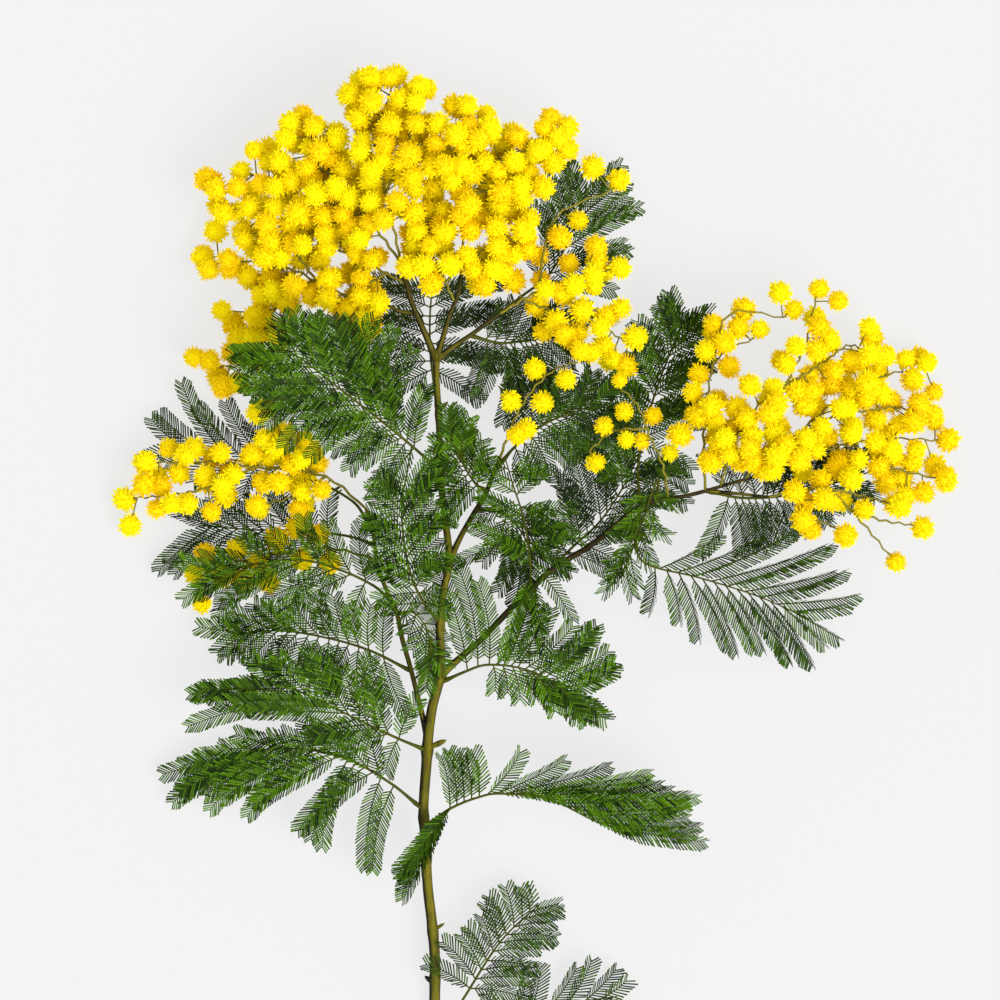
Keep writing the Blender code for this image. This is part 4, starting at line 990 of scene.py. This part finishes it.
leaf_paint = Paint("leaflets")
shade = leaf_paint.mark("shade")
fresh = leaf_paint.mix(shade.clamped(), hex_colour(FRESH_LOW), hex_colour(FRESH_HIGH))
grey = leaf_paint.mark("grey")
greyed = leaf_paint.mix(grey, fresh, hex_colour(GREY_ABOVE))
under = leaf_paint.mix(leaf_paint.mark("below") * (grey * 0.6 + 0.12), greyed, hex_colour(GREY_BELOW))
leaf_place = leaf_paint.add("ShaderNodeTexCoord", {}, output="Object")
mottle = leaf_paint.noise(leaf_place, 420, 2)
blade_green = leaf_paint.mix(mottle * 0.5 - 0.1, under, hex_colour(FRESH_DEEP))
stalk_green = leaf_paint.mix(mottle, hex_colour(STALK_LOW), hex_colour(STALK_HIGH))
leaf_colour = leaf_paint.mix(leaf_paint.mark("stalk"), blade_green, stalk_green)
leaf_finish = leaf_paint.finish(leaf_colour, 0.62 - mottle * 0.2, Specular_IOR_Level=0.04)

for number, (name, (route, *sides)) in enumerate(FRONDS.items()):
    chance = np.random.default_rng(FROND_SEED + number)
    rachis = rachises[name]
    rows = settle_pinnae(name, rachis, sides, room)
    habit = HABITS.get(name, PLAIN_HABIT)
    crowd, lean, lie = habit[3:]
    pinnae = []
    for row in rows:
        pinnae += row
        for low, high in zip(row, row[1:]):
            for k in range(crowd):
                pinnae.append(between(rachis, low, high, (k + 1) / (crowd + 1), lean, lie, chance))
        for part in FIRST_PARTS:
            if row[0][0] + part * (row[1][0] - row[0][0]) > BARE_FOOT and crowd > FIRST_CROWD:
                pinnae.append(between(rachis, row[0], row[1], part, FIRST_LEAN * lean, lie, chance))
    foot = at(*route[0])
    line = np.vstack([foot, rachis])
    from_bark = np.linalg.norm(line - rachis[0], axis=1)
    radii = PETIOLE_RADIUS * (1 - PETIOLE_TAPER * np.linspace(0, 1, len(line)))
    radii = radii * (1 + PULVINUS * np.exp(-from_bark / PULVINUS_REACH))
    runs = [(line, radii)]
    for _, spine in pinnae:
        thread = spine[::RACHILLA_STEPS]
        runs.append((thread, RACHILLA_RADIUS * (1 - RACHILLA_TAPER * np.linspace(0, 1, len(thread)))))
    stalks = tubes(f"fine_{name}", runs, 0)
    places = points_of(stalks)
    off_rachis = np.linalg.norm(places[:, None] - line[None], axis=2).min(axis=1)
    for mark_name, value in (("grey", habit[0]), ("shade", STALK_SHADE), ("below", 0)):
        mark(stalks, mark_name, np.full(len(places), value))
    mark(stalks, "stalk", np.where(off_rachis < STALK_REACH, 1, THREAD_STALK))
    leaflets = build_leaflets(f"leaflets_{name}", pinnae, habit, chance)
    select_only(stalks, leaflets)
    bpy.ops.object.join()
    stalks.data.materials.clear()
    stalks.data.materials.append(leaf_finish)
    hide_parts(name)
    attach(stalks, "root")

# The flowers are round fluffy heads of many thin yellow stamens, painted deep gold as shade towards
# the core, each on a short stalk of its own along a zigzag raceme. They open a little unevenly.
HEAD_OFFSET = 4.8 * MM
HEAD_SPACING = 7.5 * MM
FIRST_HEAD_SHARE = 0.25
LAST_HEAD_SHARE = 0.97
FEW_HEADS = 3
HEAD_START = 0.4
HEAD_SWING = 50
SWING_TURN = 2.4
HEAD_NUDGE = 40
NUDGES = 9
SHIFTS = (0, 0.3, -0.3)
FLORETS = 44
STAMENS = 4
STAMEN_WIDTH = 0.44 * MM
STAMEN_SPREAD = 0.4
STAMEN_KNOB = 0.8
HEAD_KINDS = 5
KIND_SEED = 500
SPRAY_SEED = 900
CROWD_TRIES = 16
CROWD_SPACING = 5.3 * MM
CROWD_ROOM = 3.1 * MM
CROWD_LEAN = (0.1, 0.5)
CROWD_REACH = (0.95, 2.3)

# How many more heads a spray bears for each head of its solid
CROWDS = {
    "spray_top_far_left": 2.1, "spray_top_left": 2.7, "spray_top": 3.0, "spray_top_middle": 3.6,
    "spray_fork_left": 2.5, "spray_fork_middle": 3.2, "spray_fork_right": 1.3, "spray_right_upper": 0.6,
    "spray_right_top": 1.1, "spray_right_middle": 1.4, "spray_right_low": 1.4, "spray_right_centre": 1.8,
    "spray_right_under": 0.5, "spray_left": 0.9, "spray_left_low": 0.9, "spray_inner": 0.3,
}
HEAD_SIZES = {"spray_bough": 0.76}
HEAD_SPREAD = (0.94, 1.2)
TABLE_ROOM = 1.1
CORE_SHARE = 0.74
CORE_STEPS = 2
TUFT_LENGTHS = (0.95, 1.03)
STAMEN_LENGTHS = (0.84, 1.1)
STALK_RADIUS = 0.42 * MM
PEDICEL_RADIUS = 0.24 * MM
PEDICEL_STEPS = 4
PEDICEL_SEAT = 0.4 * HEAD_RADIUS
STALK_FOOT = 1.15
STALK_TAPER = 0.5
ZIGZAG = 0.35 * MM
ZIGZAG_START = 3
PEDICEL_LOW, PEDICEL_HIGH = "6E6A1C", "9C9438"
# Head colours: lemon and gold, and a deep gold that is painted shade among the stamens
HEAD_LEMON, HEAD_GOLD, HEAD_PAINTED_SHADE = "FFF200", "FFDA00", "BE8E00"


def head_shares(count):
    """Where the heads of a raceme stand along it, the last of them at its tip."""
    if count < FEW_HEADS:
        return [HEAD_START, 1][-count:]
    step = (1 - FIRST_HEAD_SHARE) / count
    return [FIRST_HEAD_SHARE + step * (i + HEAD_START) for i in range(count - 1)] + [1]


def settle_heads(name, curves, room):
    """Each flower head's centre and the way it faces: it stands on alternate sides of its raceme,
    and is turned round it, or moved along it, until it is clear of all the others."""
    heads = []
    turn = 0
    for curve, count in curves:
        for share in head_shares(count):
            turn += 1
            for k in range(len(SHIFTS) * NUDGES):
                moved = share + SHIFTS[k // NUDGES] / count
                point, along = place_on(curve, min(moved, LAST_HEAD_SHARE))
                side = unit(np.cross([0, 0, 1.0], along))
                swing = HEAD_SWING * math.sin(turn * SWING_TURN)
                angle = math.radians(180 * turn + swing + HEAD_NUDGE * (k % NUDGES) * (-1) ** k)
                away = math.cos(angle) * side + math.sin(angle) * np.cross(along, side)
                if share == 1 and k == 0:
                    away = along
                centre = point + away * HEAD_OFFSET
                apart = [np.linalg.norm(centre - other) for other, _ in heads]
                if apart and min(apart) < HEAD_SPACING:
                    continue
                if room.is_clear(name, centre[None], HEAD_RADIUS):
                    room.add(name, centre[None], HEAD_RADIUS)
                    heads.append((centre, away))
                    break
    return heads


def crowd_heads(name, curves, heads, room, chance):
    """More heads between those of the solids, wherever there is room, on stalks of several lengths."""
    centres = [centre for centre, _ in heads]
    extra = []
    for curve, count in curves:
        for share in np.linspace(FIRST_HEAD_SHARE - 0.05, 1, round(CROWDS.get(name, 0) * count)):
            point, along = place_on(curve, min(share, LAST_HEAD_SHARE))
            side = unit(np.cross([0, 0, 1.0], along))
            for _ in range(CROWD_TRIES):
                turn = chance.uniform(0, 2 * math.pi)
                out = math.cos(turn) * side + math.sin(turn) * np.cross(along, side)
                away = unit(out + chance.uniform(*CROWD_LEAN) * along)
                reach = HEAD_OFFSET * chance.uniform(*CROWD_REACH)
                centre = point + reach * away
                if min(np.linalg.norm(centre - other) for other in centres) < CROWD_SPACING:
                    continue
                if room.is_clear(name, centre[None], CROWD_ROOM):
                    room.add(name, centre[None], CROWD_ROOM)
                    centres.append(centre)
                    extra.append((centre, away, reach))
                    break
    return extra


def stamen_shape():
    """One stamen a metre long: a thread that widens to its anther, as a thin closed spindle."""
    corners, faces = spindle(3)
    corners[:, 2] = np.where(corners[:, 2] == 0, STAMEN_KNOB, corners[:, 2] + 0.5)
    return corners, faces


def even_ways(count):
    """Directions spread evenly all round."""
    steps = np.arange(count) + 0.5
    heights = 1 - 2 * steps / count
    turns = math.pi * (1 + math.sqrt(5)) * steps
    flat = np.sqrt(1 - heights**2)
    return np.stack([flat * np.cos(turns), flat * np.sin(turns), heights], axis=1)


def head_shape(chance):
    """One open head of radius one: a round core, and tufts of stamens that stand out all over it."""
    bpy.ops.object.select_all(action="DESELECT")
    bpy.ops.mesh.primitive_ico_sphere_add(subdivisions=CORE_STEPS, radius=CORE_SHARE)
    core = bpy.context.object
    points = [points_of(core)]
    faces = [np.array([list(face.vertices) for face in core.data.polygons])]
    bpy.data.objects.remove(core)
    tuft = np.repeat(even_ways(FLORETS), STAMENS, axis=0)
    tuft_reach = np.repeat(chance.uniform(*TUFT_LENGTHS, FLORETS), STAMENS)
    ways = unit(tuft + chance.normal(0, STAMEN_SPREAD / 2, tuft.shape))
    reach = tuft_reach * chance.uniform(*STAMEN_LENGTHS, len(ways)) * (0.9 + 0.1 * (ways * tuft).sum(axis=1))
    foot = 0.5 * CORE_SHARE * tuft
    along = ways * reach[:, None] - foot
    length = np.linalg.norm(along, axis=1, keepdims=True)
    along = along / length
    side = unit(np.cross(along, [0.31, 0.52, 0.79]))
    over = np.cross(along, side)
    width = STAMEN_WIDTH / HEAD_RADIUS
    x, y, z = (stamen_corners[:, k][None, :, None] for k in range(3))
    spikes = (
        foot[:, None] + x * width * side[:, None] + y * width * over[:, None]
        + z * length[:, None] * along[:, None]
    )
    first = len(points[0])
    stamens = first + stamen_faces[None] + len(stamen_corners) * np.arange(len(ways))[:, None, None]
    points = np.vstack([points[0], spikes.reshape(-1, 3)])
    faces = np.vstack([faces[0], stamens.reshape(-1, 3)])
    return points, faces, np.linalg.norm(points, axis=1)


stamen_corners, stamen_faces = stamen_shape()
head_kinds = [head_shape(np.random.default_rng(KIND_SEED + kind)) for kind in range(HEAD_KINDS)]


def turned(ways, chance):
    """A frame of three ways at right angles, the last of them the way given, spun by chance."""
    side = unit(np.cross(ways, unit(chance.normal(size=3))))
    return np.stack([side, np.cross(ways, side), ways])


def build_heads(name, heads, chance):
    """All the open heads of a spray as one mesh, each a turned copy of one of the kinds."""
    blocks, corners, depths, blooms = [], [], [], []
    first = 0
    for centre, away, size in heads:
        points, faces, depth = head_kinds[chance.integers(HEAD_KINDS)]
        blocks.append(centre + size * HEAD_RADIUS * points @ turned(away, chance))
        corners.append(faces + first)
        first += len(points)
        depths.append(depth)
        blooms.append(np.full(len(points), chance.uniform(0, 1)))
    fluff = mesh_piece(name, np.vstack(blocks), np.vstack(corners))
    mark(fluff, "depth", np.concatenate(depths))
    mark(fluff, "bloom", np.concatenate(blooms))
    mark(fluff, "stalk", np.zeros(first))
    return fluff


flower_paint = Paint("flower_fluff")
flower_place = flower_paint.add("ShaderNodeTexCoord", {}, output="Object")
powder = flower_paint.noise(flower_place, 900, 2)
# Painted shade: deep gold where the stamens crowd close to the middle of each head
unshaded_share = ((flower_paint.mark("depth") - 0.4) * 2.6 + (powder - 0.5) * 0.4).clamped()
outer = flower_paint.mix(flower_paint.mark("bloom") * 0.9, hex_colour(HEAD_LEMON), hex_colour(HEAD_GOLD))
fluff_colour_with_shade = flower_paint.mix(unshaded_share, hex_colour(HEAD_PAINTED_SHADE), outer)
stalk_colour = flower_paint.mix(powder, hex_colour(PEDICEL_LOW), hex_colour(PEDICEL_HIGH))
flower_colour = flower_paint.mix(flower_paint.mark("stalk"), fluff_colour_with_shade, stalk_colour)
flower_finish = flower_paint.finish(flower_colour, 0.95 - powder * 0.2, Specular_IOR_Level=0.1)

settled_heads = {name: settle_heads(name, curves, room) for name, curves in racemes.items()}
for number, (name, curves) in enumerate(racemes.items()):
    chance = np.random.default_rng(SPRAY_SEED + number)
    heads = settled_heads[name]
    runs = []
    for place, (curve, _) in enumerate(curves):
        line = smooth(curve, ROOM_STEPS)
        across = unit(np.cross([0, 0, 1.0], np.gradient(line, axis=0)))
        zigzag = ZIGZAG * (-1.0) ** np.arange(len(line)) * np.minimum(1, np.arange(len(line)) / ZIGZAG_START)
        line = line + zigzag[:, None] * across
        if place == 0:
            line = np.vstack([at(*SPRAYS[name][0][0][0]), line])
        runs.append((line, STALK_RADIUS * (STALK_FOOT - STALK_TAPER * np.linspace(0, 1, len(line)))))
    sized = []
    stalked = [(centre, away, HEAD_OFFSET) for centre, away in heads]
    for centre, away, reach in stalked + crowd_heads(name, curves, heads, room, chance):
        room_below = centre[2] / HEAD_RADIUS / TABLE_ROOM
        size = min(chance.uniform(*HEAD_SPREAD) * HEAD_SIZES.get(name, 1), room_below)
        sized.append((centre, away, size))
        line = centre - np.linspace(reach, PEDICEL_SEAT, PEDICEL_STEPS)[:, None] * away
        runs.append((line, np.full(PEDICEL_STEPS, PEDICEL_RADIUS)))
    stalks = tubes(f"fine_{name}", runs, 0)
    for mark_name, value in (("depth", 0), ("bloom", 0.5), ("stalk", 1)):
        mark(stalks, mark_name, np.full(len(stalks.data.vertices), value))
    fluff = build_heads(f"fluff_{name}", sized, chance)
    select_only(stalks, fluff)
    bpy.ops.object.join()
    stalks.data.materials.clear()
    stalks.data.materials.append(flower_finish)
    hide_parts(name)
    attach(stalks, "root")

# The sprig lies on a plain pale light table, whose opal top glows evenly, under a wide soft light from
# the upper right. The camera looks straight down on it from a good height.
TABLE_SIDE = 8.0
VIEW_WIDTH = 1000 * SQUARE
LENS = 250
SENSOR = 36
VIEW_HEIGHT = 30 * MM
CLIP_END = 50
SUN_TILTS = (18, 28)
SUN_STRENGTH = 2.6
SUN_SOFTNESS = 40
SKY_STRENGTH = 0.75
TABLE_GLOW = 0.735
TABLE_LOW, TABLE_HIGH = "5F5F5F", "616161"

bpy.ops.object.select_all(action="DESELECT")
bpy.ops.mesh.primitive_plane_add(size=TABLE_SIDE)
table = bpy.context.object
table.name = "table"
table_paint = Paint("table_paint")
table_place = table_paint.add("ShaderNodeTexCoord", {}, output="Object")
table_cloud = table_paint.noise(table_place, 3, 2)
table_tone = table_paint.mix(table_cloud, hex_colour(TABLE_LOW), hex_colour(TABLE_HIGH))
table_paint.finish(table_tone, 0.95, Specular_IOR_Level=0.0, Emission_Strength=TABLE_GLOW)
table.data.materials.append(table_paint.material)

sky = bpy.data.worlds.new("sky")
sky.use_nodes = True
sky.node_tree.nodes["Background"].inputs["Color"].default_value = (1, 1, 1, 1)
sky.node_tree.nodes["Background"].inputs["Strength"].default_value = SKY_STRENGTH
bpy.context.scene.world = sky
bpy.ops.object.light_add(type="SUN", rotation=(*np.radians(SUN_TILTS), 0))
sun = bpy.context.object.data
sun.energy = SUN_STRENGTH
sun.angle = math.radians(SUN_SOFTNESS)
bpy.context.scene.view_settings.view_transform = "Standard"

middle = at(500, 500, 0)
height = VIEW_HEIGHT + VIEW_WIDTH * LENS / SENSOR
bpy.ops.object.camera_add(location=(middle[0], middle[1], height), rotation=(0, 0, 0))
camera = bpy.context.object
camera.data.lens = LENS
camera.data.sensor_width = SENSOR
camera.data.clip_end = CLIP_END
bpy.context.scene.camera = camera
